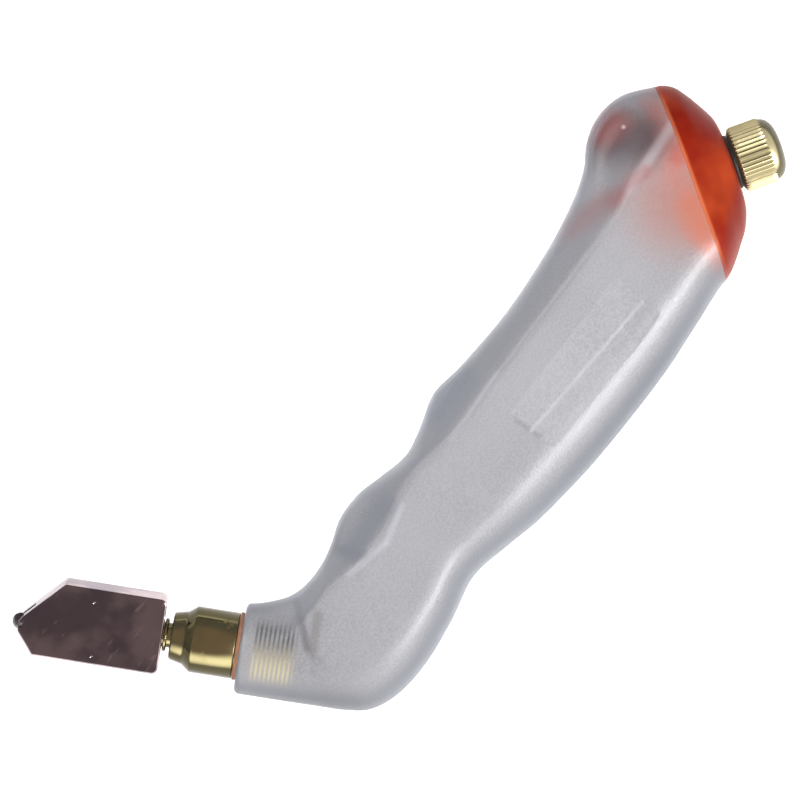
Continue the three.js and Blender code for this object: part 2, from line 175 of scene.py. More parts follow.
class Shaper:
    """Makes finished mesh objects: at the origin, unturned, closed and facing outwards."""

    SHARP = math.radians(38)

    @staticmethod
    def from_data(name: str, points: list, faces: list, placement: Placement) -> bpy.types.Object:
        """Makes an object from local points.

        Args:
            name: the piece's name.
            points: its points in local millimetres.
            faces: its faces, as lists of point numbers.
            placement: the local frame.

        Returns:
            The new object, with outward normals.
        """
        mesh = bpy.data.meshes.new(name)
        mesh.from_pydata([tuple(point) for point in points], [], faces)
        mesh.transform(placement.matrix())
        Shaper.tidy(mesh)
        piece = bpy.data.objects.new(name, mesh)
        bpy.context.scene.collection.objects.link(piece)
        return piece

    @staticmethod
    def tidy(mesh: bpy.types.Mesh, sharp: float = SHARP) -> None:
        """Merges doubles, turns faces outwards and shades smooth up to an angle.

        Args:
            mesh: the mesh to finish.
            sharp: the angle past which an edge stays crisp, in radians.
        """
        work = bmesh.new()
        work.from_mesh(mesh)
        bmesh.ops.remove_doubles(work, verts=work.verts, dist=1e-7)
        bmesh.ops.dissolve_degenerate(work, edges=work.edges, dist=1e-8)
        bmesh.ops.recalc_face_normals(work, faces=work.faces)
        work.to_mesh(mesh)
        work.free()
        mesh.polygons.foreach_set("use_smooth", [True] * len(mesh.polygons))
        mesh.set_sharp_from_angle(angle=sharp)
        mesh.update()

    @staticmethod
    def flatten(mesh: bpy.types.Mesh, area: float) -> None:
        """Shades every face larger than an area, in square metres, flat.

        Args:
            mesh: the mesh to shade.
            area: the least area of a flat face, in square metres.
        """
        for face in mesh.polygons:
            face.use_smooth = face.area < area
        mesh.update()

    @staticmethod
    def skin(rings: list[Ring], closed_ends: bool = True) -> tuple[list, list]:
        """Joins rings of equal point counts into a skin.

        Args:
            rings: the rings, each one a closed loop.
            closed_ends: whether the first and last ring are filled.

        Returns:
            Points and faces.
        """
        count = len(rings[0])
        points = [point for ring in rings for point in ring]
        faces = []
        for k in range(len(rings) - 1):
            for i in range(count):
                j = (i + 1) % count
                low, high = k * count, (k + 1) * count
                faces.append([low + i, low + j, high + j, high + i])
        if closed_ends:
            last = (len(rings) - 1) * count
            faces.append(list(range(count)))
            faces.append(list(range(last, last + count)))
        return points, faces

    @staticmethod
    def slab(
        low: tuple[float, float],
        high: tuple[float, float],
        levels: tuple[tuple[float, float], ...],
    ) -> tuple[list, list]:
        """A four-sided block.

        Args:
            low: the outline's lowest x and y.
            high: its highest x and y.
            levels: heights, each with how far the outline grows there.

        Returns:
            Points and faces.
        """
        rings = []
        for z, grow in levels:
            left, near = low[0] - grow, low[1] - grow
            right, far = high[0] + grow, high[1] + grow
            corners = ((left, near), (right, near), (right, far), (left, far))
            rings.append([Vector((x, y, z)) for x, y in corners])
        return Shaper.skin(rings)

    @staticmethod
    def turned(profile: Profile, facets: Round, closed: bool = False) -> tuple[list, list]:
        """Turns a profile of (x, radius) points about X.

        Args:
            profile: the points, from axis to axis, or round a closed section.
            facets: how many facets go round.
            closed: whether the profile's last point joins its first.

        Returns:
            Points and faces.
        """
        count = facets.value
        rings = []
        for x, radius in profile:
            turns = [2 * math.pi * i / count for i in range(count)]
            rings.append([Vector((x, radius * math.cos(t), radius * math.sin(t))) for t in turns])
        if closed:
            rings.append(rings[0])
        return Shaper.skin(rings, closed_ends=False)

    @staticmethod
    def cut(piece: bpy.types.Object, tools: list[bpy.types.Object]) -> bpy.types.Object:
        """Cuts tools out of a piece and removes them.

        Args:
            piece: the piece to cut.
            tools: closed objects to take away.

        Returns:
            The piece, with a plain mesh.
        """
        for tool in tools:
            change = piece.modifiers.new("cut", "BOOLEAN")
            change.operation = "DIFFERENCE"
            change.solver = "EXACT"
            change.object = tool
        Shaper.bake(piece)
        for tool in tools:
            bpy.data.objects.remove(tool)
        Shaper.tidy(piece.data)
        return piece

    @staticmethod
    def bake(piece: bpy.types.Object) -> bpy.types.Object:
        """Turns a piece's modifiers into its plain mesh.

        Args:
            piece: the piece whose modifiers are applied.

        Returns:
            The piece.
        """
        graph = bpy.context.evaluated_depsgraph_get()
        graph.update()
        result = bpy.data.meshes.new_from_object(piece.evaluated_get(graph), depsgraph=graph)
        result.name = piece.name
        piece.modifiers.clear()
        piece.data = result
        return piece

    @staticmethod
    def dress(piece: bpy.types.Object, finish: "Finish") -> bpy.types.Object:
        """Gives a piece one material."""
        piece.data.materials.clear()
        piece.data.materials.append(finish.material())
        return piece


# ---- node trees ----------------------------------------------------------------------------


class NodeKit:
    """Builds nodes in one tree."""

    def __init__(self, tree: bpy.types.NodeTree) -> None:
        """Wraps a node tree."""
        self.tree = tree

    def add(self, kind: str, **links: object) -> bpy.types.Node:
        """Adds a node and sets or links its inputs.

        Args:
            kind: the node's type.
            links: input name, with spaces as underscores, to a socket or a value.

        Returns:
            The node.
        """
        node = self.tree.nodes.new(kind)
        for name, value in links.items():
            self.join(value, node.inputs[name.replace("_", " ")])
        return node

    def join(self, value: object, socket: bpy.types.NodeSocket) -> None:
        """Links a socket to another, or sets it to a value.

        Args:
            value: a socket to link from, or a plain value.
            socket: the input that gets it.
        """
        if isinstance(value, bpy.types.NodeSocket):
            self.tree.links.new(value, socket)
        else:
            socket.default_value = value

    def math(self, operation: str, *terms: object, clamp: bool = False) -> bpy.types.NodeSocket:
        """Adds a math node and gives its output.

        Args:
            operation: the node's operation.
            terms: sockets or numbers.
            clamp: whether the result is kept within 0 and 1.

        Returns:
            The result's socket.
        """
        node = self.tree.nodes.new("ShaderNodeMath")
        node.operation = operation
        node.use_clamp = clamp
        for socket, term in zip(node.inputs, terms):
            self.join(term, socket)
        return node.outputs[0]


class GeometryTree(NodeKit):
    """A geometry node tree with named inputs, built in code."""

    def __init__(self, name: str) -> None:
        """Starts a tree with a geometry output."""
        super().__init__(bpy.data.node_groups.new(name, "GeometryNodeTree"))
        self.tree.interface.new_socket(
            name="Geometry", in_out="OUTPUT", socket_type="NodeSocketGeometry"
        )
        self.inputs = self.tree.nodes.new("NodeGroupInput")
        self.result = self.tree.nodes.new("NodeGroupOutput")
        self.identifiers: dict[str, str] = {}

    def takes(self, name: str, kind: str, default: float | int | bool | None = None) -> None:
        """Adds a named input.

        Args:
            name: the input's name.
            kind: Float, Int, Bool or Material.
            default: its value until a piece sets it.
        """
        socket = self.tree.interface.new_socket(
            name=name, in_out="INPUT", socket_type=f"NodeSocket{kind}"
        )
        if default is not None:
            socket.default_value = default
        self.identifiers[name] = socket.identifier

    def run_out(self, least: float) -> bpy.types.NodeSocket:
        """A scale along a curve that falls to a least value at both ends.

        Args:
            least: the scale at the very ends.

        Returns:
            The scale as a socket.
        """
        along = self.add("GeometryNodeSplineParameter").outputs["Factor"]
        from_end = self.math("MINIMUM", along, self.math("SUBTRACT", 1.0, along))
        share = self.math("DIVIDE", from_end, self.inputs.outputs["Runout"])
        return self.math("MINIMUM", self.math("ADD", share, least), 1.0)

    def spread(self, spots: object, piece: object, count: object) -> None:
        """Ends the tree with copies of a piece, turned about Z by equal shares of a round.

        Args:
            spots: the points that the copies stand on.
            piece: the geometry to copy.
            count: how many copies make a full round.
        """
        place = self.add("GeometryNodeInputIndex").outputs["Index"]
        share = self.math("DIVIDE", self.math("MULTIPLY", place, 2 * math.pi), count)
        turn = self.add("ShaderNodeCombineXYZ", Z=share)
        copies = self.add(
            "GeometryNodeInstanceOnPoints",
            Points=spots,
            Instance=piece,
            Rotation=turn.outputs["Vector"],
        )
        real = self.add("GeometryNodeRealizeInstances", Geometry=copies.outputs["Instances"])
        done = self.add(
            "GeometryNodeSetMaterial",
            Geometry=real.outputs["Geometry"],
            Material=self.inputs.outputs["Material"],
        )
        self.join(done.outputs["Geometry"], self.result.inputs["Geometry"])

    def grow(self, name: str, placement: Placement, **values: object) -> bpy.types.Object:
        """Runs the tree once and keeps its result as a plain mesh.

        Args:
            name: the piece's name.
            placement: the local frame the tree works in, in millimetres.
            values: input name, with spaces as underscores, to its value.

        Returns:
            The new object.
        """
        piece = bpy.data.objects.new(name, bpy.data.meshes.new(name))
        bpy.context.scene.collection.objects.link(piece)
        change = piece.modifiers.new("grow", "NODES")
        change.node_group = self.tree
        for key, value in values.items():
            change[self.identifiers[key.replace("_", " ")]] = value
        Shaper.bake(piece)
        piece.data.transform(placement.matrix())
        Shaper.tidy(piece.data, math.radians(50))
        return piece


class WoundStrand(GeometryTree):
    """A strand wound round Z from the origin: a thread's ridge, a spring or a twisted yarn."""

    def __init__(self) -> None:
        """Builds the tree."""
        super().__init__("wound_strand")
        for name, kind, default in (
            ("Turns", "Float", 6.0),
            ("Radius", "Float", 3.0),
            ("Length", "Float", 8.0),
            ("Strand Radius", "Float", 0.3),
            ("Strand Sides", "Int", 8),
            ("Steps per Turn", "Int", 40),
            ("Runout", "Float", 0.02),
            ("Strands", "Int", 1),
            ("Material", "Material", None),
        ):
            self.takes(name, kind, default)
        given = self.inputs.outputs
        spiral = self.add(
            "GeometryNodeCurveSpiral",
            Resolution=given["Steps per Turn"],
            Rotations=given["Turns"],
            Start_Radius=given["Radius"],
            End_Radius=given["Radius"],
            Height=given["Length"],
            Reverse=True,
        )
        normal = self.add("GeometryNodeSetCurveNormal", Curve=spiral.outputs["Curve"])
        normal.mode = "Z_UP"
        section = self.add(
            "GeometryNodeCurvePrimitiveCircle",
            Resolution=given["Strand Sides"],
            Radius=given["Strand Radius"],
        )
        swept = self.add(
            "GeometryNodeCurveToMesh",
            Curve=normal.outputs["Curve"],
            Profile_Curve=section.outputs["Curve"],
            Scale=self.run_out(0.15),
            Fill_Caps=True,
        )
        spots = self.add("GeometryNodeMeshLine", Count=given["Strands"], Offset=(0.0, 0.0, 0.0))
        self.spread(spots.outputs["Mesh"], swept.outputs["Mesh"], given["Strands"])


class KnurlRing(GeometryTree):
    """Straight knurling: ridges along Z, spaced round a cylinder, with run-outs at both ends."""

    def __init__(self) -> None:
        """Builds the tree."""
        super().__init__("knurl_ring")
        for name, kind, default in (
            ("Ridges", "Int", 56),
            ("Radius", "Float", 5.0),
            ("Length", "Float", 5.0),
            ("Ridge Radius", "Float", 0.3),
            ("Runout", "Float", 0.08),
            ("Material", "Material", None),
        ):
            self.takes(name, kind, default)
        given = self.inputs.outputs
        top = self.add("ShaderNodeCombineXYZ", Z=given["Length"])
        line = self.add(
            "GeometryNodeCurvePrimitiveLine", Start=(0.0, 0.0, 0.0), End=top.outputs["Vector"]
        )
        steps = self.add("GeometryNodeResampleCurve", Curve=line.outputs["Curve"], Count=13)
        section = self.add(
            "GeometryNodeCurvePrimitiveCircle", Resolution=4, Radius=given["Ridge Radius"]
        )
        ridge = self.add(
            "GeometryNodeCurveToMesh",
            Curve=steps.outputs["Curve"],
            Profile_Curve=section.outputs["Curve"],
            Scale=self.run_out(0.25),
            Fill_Caps=True,
        )
        spots = self.add(
            "GeometryNodeMeshCircle", Vertices=given["Ridges"], Radius=given["Radius"]
        )
        self.spread(spots.outputs["Mesh"], ridge.outputs["Mesh"], given["Ridges"])


# ---- finishes ------------------------------------------------------------------------------


class ShaderKit(NodeKit):
    """Builds nodes in one material or shader group."""

    def dot(self, place: bpy.types.NodeSocket, axis: Vector) -> bpy.types.NodeSocket:
        """The distance of a place along an axis, from the origin.

        Args:
            place: a vector socket.
            axis: the axis's direction.

        Returns:
            The distance as a socket.
        """
        node = self.tree.nodes.new("ShaderNodeVectorMath")
        node.operation = "DOT_PRODUCT"
        self.join(place, node.inputs[0])
        node.inputs[1].default_value = axis
        return node.outputs["Value"]

    def blend(self, amount: object, first: object, second: object) -> bpy.types.NodeSocket:
        """Mixes two colours.

        Args:
            amount: the second colour's share.
            first: a colour or a socket.
            second: a colour or a socket.

        Returns:
            The mixed colour as a socket.
        """
        node = self.tree.nodes.new("ShaderNodeMix")
        node.data_type = "RGBA"
        self.join(amount, node.inputs["Factor"])
        self.join(first, node.inputs[6])
        self.join(second, node.inputs[7])
        return node.outputs[2]

    def ramp(self, value: object, low: float, high: float, a: float, b: float) -> object:
        """Maps low..high to a..b smoothly, and gives the output socket.

        Args:
            value: the socket to map.
            low: the value that gives a.
            high: the value that gives b.
            a: the result at low.
            b: the result at high.

        Returns:
            The result as a socket.
        """
        node = self.tree.nodes.new("ShaderNodeMapRange")
        node.interpolation_type = "SMOOTHSTEP"
        self.join(value, node.inputs["Value"])
        for name, number in zip(("From Min", "From Max", "To Min", "To Max"), (low, high, a, b)):
            node.inputs[name].default_value = number
        return node.outputs["Result"]

    def painted_edge_shade(self, low: float, high: float, most: float) -> object:
        """A mask of how far the surface turns away from the eye, for painted shade; it changes
        with the view.

        Args:
            low: facing weight where the mask starts.
            high: facing weight where it is full.
            most: the mask's full value.

        Returns:
            A mask socket.
        """
        facing = self.add("ShaderNodeLayerWeight")
        facing.inputs["Blend"].default_value = 0.5
        return self.ramp(facing.outputs["Facing"], low, high, 0.0, most)

    def bump(
        self, shader: bpy.types.Node, height: object, strength: float, depth: float
    ) -> bpy.types.Node:
        """Raises a shader's surface by a height mask.

        Args:
            shader: the shader whose normal is set.
            height: the mask.
            strength: how strongly it shows.
            depth: how high the mask's full value stands, in metres.

        Returns:
            The bump node.
        """
        node = self.add("ShaderNodeBump", Height=height, Strength=strength, Distance=depth)
        self.join(node.outputs["Normal"], shader.inputs["Normal"])
        return node

    def dulled(self, wear: bpy.types.Node, gloss: float, film: float, scratch: float) -> object:
        """A roughness that finger film and scratches raise.

        Args:
            wear: the handling_wear group node.
            gloss: the clean roughness.
            film: how much the film adds.
            scratch: how much a scratch adds.

        Returns:
            A roughness socket.
        """
        rough = self.ramp(wear.outputs["Film"], 0.0, 1.0, gloss, gloss + film)
        return self.math("ADD", rough, self.math("MULTIPLY", wear.outputs["Scratches"], scratch))


@dataclass(frozen=True)
class Spot:
    """A soft-edged oval patch of painted shade, highlight or tint in the grip, in its frame in
    millimetres.
    """

    start: tuple[float, float]
    end: tuple[float, float]
    radius: float
    color: tuple[float, float, float]
    strength: float


class SharedEffects:
    """Shader groups that several finishes use. Each is built once."""

    built: dict[str, bpy.types.NodeTree] = {}

    @classmethod
    def group(cls, name: str, inputs: dict[str, float], outputs: list[str]) -> tuple:
        """Starts a group with a place input, number inputs and number outputs.

        Args:
            name: the group's name.
            inputs: number inputs with their defaults.
            outputs: number outputs.

        Returns:
            The tree, its kit, its input node and its output node.
        """
        tree = bpy.data.node_groups.new(name, "ShaderNodeTree")
        tree.interface.new_socket(name="Place", in_out="INPUT", socket_type="NodeSocketVector")
        for key, default in inputs.items():
            socket = tree.interface.new_socket(
                name=key, in_out="INPUT", socket_type="NodeSocketFloat"
            )
            socket.default_value = default
        for key in outputs:
            tree.interface.new_socket(name=key, in_out="OUTPUT", socket_type="NodeSocketFloat")
        given = tree.nodes.new("NodeGroupInput")
        result = tree.nodes.new("NodeGroupOutput")
        cls.built[name] = tree
        return tree, ShaderKit(tree), given, result

    @classmethod
    def moulded_grain(cls) -> bpy.types.NodeTree:
        """Fine sparkle texture of a spark-eroded mould, with slow clouding under it."""
        if "moulded_grain" in cls.built:
            return cls.built["moulded_grain"]
        tree, kit, given, result = cls.group(
            "moulded_grain", {"Grain per Metre": 2500.0, "Clouds per Metre": 60.0},
            ["Grain", "Clouds"],
        )
        fine = kit.add(
            "ShaderNodeTexNoise",
            Vector=given.outputs["Place"],
            Scale=given.outputs["Grain per Metre"],
            Detail=2.0,
            Roughness=0.6,
        )
        slow = kit.add(
            "ShaderNodeTexNoise",
            Vector=given.outputs["Place"],
            Scale=given.outputs["Clouds per Metre"],
            Detail=3.0,
            Roughness=0.55,
        )
        kit.join(fine.outputs["Fac"], result.inputs["Grain"])
        kit.join(kit.ramp(slow.outputs["Fac"], 0.3, 0.7, 0.0, 1.0), result.inputs["Clouds"])
        return tree

    # The mask of each painted spot of shade, highlight and tint.
    @classmethod
    def stain(cls) -> bpy.types.NodeTree:
        """How near a place is to a short line, seen across the thickness: 1 on it, 0 beyond."""
        if "stain" in cls.built:
            return cls.built["stain"]
        tree, kit, given, result = cls.group(
            "stain",
            {"Start X": 0.0, "Start Y": 0.0, "Run X": 1.0, "Run Y": 0.0, "Radius": 0.002},
            ["Mask"],
        )
        parts = kit.add("ShaderNodeSeparateXYZ", Vector=given.outputs["Place"])
        x = kit.math("SUBTRACT", parts.outputs["X"], given.outputs["Start X"])
        y = kit.math("SUBTRACT", parts.outputs["Y"], given.outputs["Start Y"])
        run_x, run_y = given.outputs["Run X"], given.outputs["Run Y"]
        square = kit.math("ADD", kit.math("POWER", run_x, 2.0), kit.math("POWER", run_y, 2.0))
        along = kit.math("ADD", kit.math("MULTIPLY", x, run_x), kit.math("MULTIPLY", y, run_y))
        share = kit.math("DIVIDE", along, square, clamp=True)
        off_x = kit.math("SUBTRACT", x, kit.math("MULTIPLY", share, run_x))
        off_y = kit.math("SUBTRACT", y, kit.math("MULTIPLY", share, run_y))
        off_x = kit.math("MULTIPLY", off_x, off_x)
        off = kit.math("SQRT", kit.math("ADD", off_x, kit.math("MULTIPLY", off_y, off_y)))
        near = kit.math("DIVIDE", off, given.outputs["Radius"])
        kit.join(kit.ramp(near, 0.1, 1.0, 1.0, 0.0), result.inputs["Mask"])
        return tree

    @classmethod
    def handling_wear(cls) -> bpy.types.NodeTree:
        """Hairline scratches and a film of finger marks on polished metal."""
        if "handling_wear" in cls.built:
            return cls.built["handling_wear"]
        tree, kit, given, result = cls.group(
            "handling_wear", {"Scratches per Metre": 900.0}, ["Scratches", "Film"]
        )
        lines = []
        for turn in (0.4, 1.9):
            mapping = kit.add("ShaderNodeMapping", Vector=given.outputs["Place"])
            mapping.inputs["Rotation"].default_value = (0.0, 0.0, turn)
            mapping.inputs["Scale"].default_value = (0.04, 1.0, 1.0)
            noise = kit.add(
                "ShaderNodeTexNoise",
                Vector=mapping.outputs["Vector"],
                Scale=given.outputs["Scratches per Metre"],
                Detail=1.0,
            )
            lines.append(kit.ramp(noise.outputs["Fac"], 0.68, 0.74, 0.0, 1.0))
        film = kit.add(
            "ShaderNodeTexNoise", Vector=given.outputs["Place"], Scale=170.0, Detail=4.0
        )
        kit.join(kit.math("MAXIMUM", *lines), result.inputs["Scratches"])
        kit.join(kit.ramp(film.outputs["Fac"], 0.4, 0.7, 0.0, 1.0), result.inputs["Film"])
        return tree


@dataclass(frozen=True)
class Finish:
    """A surface finish. Each kind builds its own material."""

    name: str
    color: tuple[float, float, float]
    roughness: float = 0.5

    def material(self) -> bpy.types.Material:
        """The finish's material, built the first time it is asked for."""
        title = f"finish_{self.name}"
        known = bpy.data.materials.get(title)
        if known:
            return known
        made = bpy.data.materials.new(title)
        made.use_nodes = True
        made.node_tree.nodes.clear()
        kit = ShaderKit(made.node_tree)
        shader = kit.add("ShaderNodeBsdfPrincipled")
        output = kit.add("ShaderNodeOutputMaterial")
        kit.join(shader.outputs["BSDF"], output.inputs["Surface"])
        place = kit.add("ShaderNodeTexCoord").outputs["Object"]
        self.paint(kit, shader, place)
        return made

    def paint(self, kit: ShaderKit, shader: bpy.types.Node, place: object) -> None:
        """Fills in the shader. Each finish has its own."""
        raise NotImplementedError

    def effect(self, kit: ShaderKit, tree: bpy.types.NodeTree, place: object) -> bpy.types.Node:
        """Places a shared group in the material.

        Args:
            kit: the material's kit.
            tree: the group.
            place: the place it reads.

        Returns:
            The group node.
        """
        node = kit.tree.nodes.new("ShaderNodeGroup")
        node.node_tree = tree
        kit.join(place, node.inputs["Place"])
        return node

    def rgba(self, factor: float = 1.0) -> tuple[float, float, float, float]:
        """The finish's colour, brightened or darkened."""
        r, g, b = self.color
        return (r * factor, g * factor, b * factor, 1.0)


@dataclass(frozen=True)
class FrostedPlastic(Finish):
    """Frosted translucent plastic with a painted warm glow that stands for the red cap beside it.

    The ferrule's thread is painted in the nozzle as lines, with painted shade and painted light
    across them. Some spots of colour stand for what else shows through; the others are painted
    shade and painted highlights. thread_pitch, glow_reach and glow_wander are in metres.
    """

    # tint is the colour of the painted red glow near the cap.
    tint: tuple[float, float, float] = (0.75, 0.12, 0.04)
    # edge is the colour of the painted shade where the surface turns away from the eye.
    edge: tuple[float, float, float] = (0.15, 0.165, 0.2)
    thread_pitch: float = 0.0008
    glow_reach: float = 0.004
    glow_wander: float = 0.006
    seam: Vector = field(default_factory=Vector)
    seam_axis: Vector = field(default_factory=Vector)
    mouth: Vector = field(default_factory=Vector)
    nozzle_axis: Vector = field(default_factory=Vector)
    nozzle_side: Vector = field(default_factory=Vector)
    grip_origin: Vector = field(default_factory=Vector)
    spots: tuple[Spot, ...] = ()

    def with_painted_spots(self, kit: ShaderKit, place: object, color: object) -> object:
        """A colour with every spot laid over it: painted shade, painted highlights and
        see-through tint.

        Args:
            kit: the material's kit.
            place: the place to read.
            color: the colour under the spots.

        Returns:
            The colour as a socket.
        """
        for spot in self.spots:
            start = self.grip_origin + Vector((*spot.start, 0.0)) * MM
            run = (Vector(spot.end) - Vector(spot.start)) * MM
            node = self.effect(kit, SharedEffects.stain(), place)
            sizes = {"Start X": start.x, "Start Y": start.y, "Run X": run.x, "Run Y": run.y}
            for name, number in {**sizes, "Radius": spot.radius * MM}.items():
                node.inputs[name].default_value = number
            amount = kit.math("MULTIPLY", node.outputs["Mask"], spot.strength)
            color = kit.blend(amount, color, (*spot.color, 1.0))
        return color

    def paint(self, kit: ShaderKit, shader: bpy.types.Node, place: object) -> None:
        """Clouded grey, a painted red glow, spots, thread lines, painted shade where it turns
        away.
        """
        grain = self.effect(kit, SharedEffects.moulded_grain(), place)
        clouded = kit.blend(grain.outputs["Clouds"], self.rgba(), self.rgba(0.9))
        sparkle = kit.ramp(grain.outputs["Grain"], 0.35, 0.65, 0.0, 1.0)
        clouded = kit.blend(sparkle, clouded, self.rgba(1.15))
        # Painted red glow: the cap's red fades inwards from the seam, standing for it seen
        # through the wall.
        inward = kit.math(
            "SUBTRACT", self.seam.dot(self.seam_axis), kit.dot(place, self.seam_axis)
        )
        centred = kit.math("SUBTRACT", grain.outputs["Clouds"], 0.5)
        wander = kit.math("MULTIPLY", centred, self.glow_wander)
        glow = kit.ramp(kit.math("ADD", inward, wander), 0.0, self.glow_reach, 0.35, 0.0)
        warm = kit.blend(glow, clouded, (*self.tint, 1.0))
        # Painted spots of shade, highlights and see-through tint.
        warm = self.with_painted_spots(kit, place, warm)
        depth = kit.math(
            "SUBTRACT", self.mouth.dot(self.nozzle_axis), kit.dot(place, self.nozzle_axis)
        )
        wave = kit.math("SINE", kit.math("MULTIPLY", depth, 2 * math.pi / self.thread_pitch))
        across = kit.math(
            "SUBTRACT", kit.dot(place, self.nozzle_side), self.mouth.dot(self.nozzle_side)
        )
        zone = kit.math(
            "MULTIPLY",
            kit.ramp(depth, 0.0018, 0.003, 0.0, 1.0),
            kit.ramp(depth, 0.0085, 0.0105, 1.0, 0.0),
        )
        edge = kit.ramp(kit.math("ABSOLUTE", across), 0.0035, 0.0062, 1.0, 0.0)
        zone = kit.math("MULTIPLY", zone, edge)
        # The thread lines are painted dark on one side and bright on the other: painted shade and
        # light.
        thread_shade_and_light = kit.blend(
            kit.ramp(across, -0.003, 0.003, 0.0, 1.0), (0.06, 0.06, 0.06, 1.0),
            (0.8, 0.7, 0.42, 1.0),
        )
        lines = kit.math("MULTIPLY", kit.ramp(wave, -0.6, 0.9, 0.15, 0.8), zone)
        body = kit.blend(lines, warm, thread_shade_and_light)
        # Painted shade: the colour darkens to edge where the surface turns away from the eye.
        painted_edge_shade = kit.painted_edge_shade(0.12, 0.6, 0.8)
        kit.join(kit.blend(painted_edge_shade, body, (*self.edge, 1.0)), shader.inputs["Base Color"])
        rough = kit.ramp(grain.outputs["Grain"], 0.3, 0.7, self.roughness, self.roughness + 0.12)
        kit.join(rough, shader.inputs["Roughness"])
        shader.inputs["Transmission Weight"].default_value = 0.5
        shader.inputs["IOR"].default_value = 1.49
        shader.inputs["Specular IOR Level"].default_value = 0.75
        kit.bump(shader, grain.outputs["Grain"], 0.6, 0.0001)


@dataclass(frozen=True)
class RedPlastic(Finish):
    """Translucent red plastic with a satin moulded skin and a pale line along its seam."""

    light: tuple[float, float, float] = (0.55, 0.085, 0.022)
    line: tuple[float, float, float] = (0.75, 0.22, 0.09)
    seam: Vector = field(default_factory=Vector)
    seam_axis: Vector = field(default_factory=Vector)

    def paint(self, kit: ShaderKit, shader: bpy.types.Node, place: object) -> None:
        """Red that wanders between deep and orange, fine grain, painted shade where it turns
        away.
        """
        grain = self.effect(kit, SharedEffects.moulded_grain(), place)
        color = kit.blend(grain.outputs["Clouds"], self.rgba(), (*self.light, 1.0))
        outward = kit.math(
            "SUBTRACT", kit.dot(place, self.seam_axis), self.seam.dot(self.seam_axis)
        )
        line = kit.ramp(outward, 0.0001, 0.0008, 0.7, 0.0)
        color = kit.blend(line, color, (*self.line, 1.0))
        # Painted shade: darker where the surface turns away from the eye.
        painted_edge_shade = kit.painted_edge_shade(0.12, 0.6, 0.75)
        kit.join(kit.blend(painted_edge_shade, color, self.rgba(0.8)), shader.inputs["Base Color"])
        rough = kit.ramp(grain.outputs["Grain"], 0.3, 0.7, self.roughness, self.roughness + 0.1)
        kit.join(rough, shader.inputs["Roughness"])
        shader.inputs["Transmission Weight"].default_value = 0.25
        shader.inputs["IOR"].default_value = 1.35
        shader.inputs["Specular IOR Level"].default_value = 0.15
        kit.bump(shader, grain.outputs["Grain"], 0.2, 0.00006)


@dataclass(frozen=True)
class TurnedMetal(Finish):
    """Metal turned on a lathe: fine rings round an axis, finger film and hairlines."""

    axis: Vector = field(default_factory=Vector)
    rings_per_mm: float = 9.0
    metallic: float = 1.0
    ring_height: float = 0.000004

    def paint(self, kit: ShaderKit, shader: bpy.types.Node, place: object) -> None:
        """Metal whose rings and film vary its gloss; painted shade, nearly black, where it turns
        away.
        """
        wear = self.effect(kit, SharedEffects.handling_wear(), place)
        along = kit.math("MULTIPLY", kit.dot(place, self.axis), self.rings_per_mm / MM)
        rings = kit.add("ShaderNodeTexNoise", Detail=2.0, Scale=1.0)
        rings.noise_dimensions = "1D"
        kit.join(along, rings.inputs["W"])
        color = kit.blend(wear.outputs["Film"], self.rgba(), self.rgba(0.86))
        # Painted shade standing for dark surroundings mirrored: nearly black where the surface
        # turns away.
        color = kit.blend(kit.painted_edge_shade(0.2, 0.36, 0.94), color, self.rgba(0.1))
        kit.join(color, shader.inputs["Base Color"])
        shader.inputs["Metallic"].default_value = self.metallic
        kit.join(kit.dulled(wear, self.roughness, 0.1, 0.1), shader.inputs["Roughness"])
        kit.bump(shader, rings.outputs["Fac"], 0.35, self.ring_height)


@dataclass(frozen=True)
class PlatedMetal(Finish):
    """Polished plating with soft darker patches, light scratches and finger film."""

    shade: tuple[float, float, float] = (0.3, 0.25, 0.29)
    clouds: float = 110.0

    def paint(self, kit: ShaderKit, shader: bpy.types.Node, place: object) -> None:
        """Mirror metal, a little dulled where it was handled."""
        wear = self.effect(kit, SharedEffects.handling_wear(), place)
        cloud = kit.add("ShaderNodeTexNoise", Vector=place, Scale=self.clouds, Detail=3.0)
        patch = kit.ramp(cloud.outputs["Fac"], 0.38, 0.62, 0.0, 1.0)
        color = kit.blend(patch, self.rgba(), (*self.shade, 1.0))
        color = kit.blend(kit.math("MULTIPLY", wear.outputs["Film"], 0.3), color, self.rgba(0.6))
        worn = kit.blend(
            kit.math("MULTIPLY", wear.outputs["Scratches"], 0.25), color, self.rgba(1.3)
        )
        kit.join(worn, shader.inputs["Base Color"])
        shader.inputs["Metallic"].default_value = 1.0
        kit.join(kit.dulled(wear, self.roughness, 0.07, 0.15), shader.inputs["Roughness"])
        kit.bump(shader, wear.outputs["Scratches"], 0.2, 0.000006).invert = True


@dataclass(frozen=True)
class SoftSolid(Finish):
    """Rubber, fibre or felt: no metal, a dull broken surface."""

    grain_per_metre: float = 3000.0
    grain_height: float = 0.00005

    def paint(self, kit: ShaderKit, shader: bpy.types.Node, place: object) -> None:
        """Mottled colour with a fine rough grain."""
        grain = self.effect(kit, SharedEffects.moulded_grain(), place)
        grain.inputs["Grain per Metre"].default_value = self.grain_per_metre
        grain.inputs["Clouds per Metre"].default_value = 400.0
        color = kit.blend(grain.outputs["Clouds"], self.rgba(), self.rgba(0.7))
        kit.join(color, shader.inputs["Base Color"])
        rough = kit.ramp(grain.outputs["Grain"], 0.3, 0.7, self.roughness - 0.1, self.roughness)
        kit.join(rough, shader.inputs["Roughness"])
        kit.bump(shader, grain.outputs["Grain"], 0.5, self.grain_height)


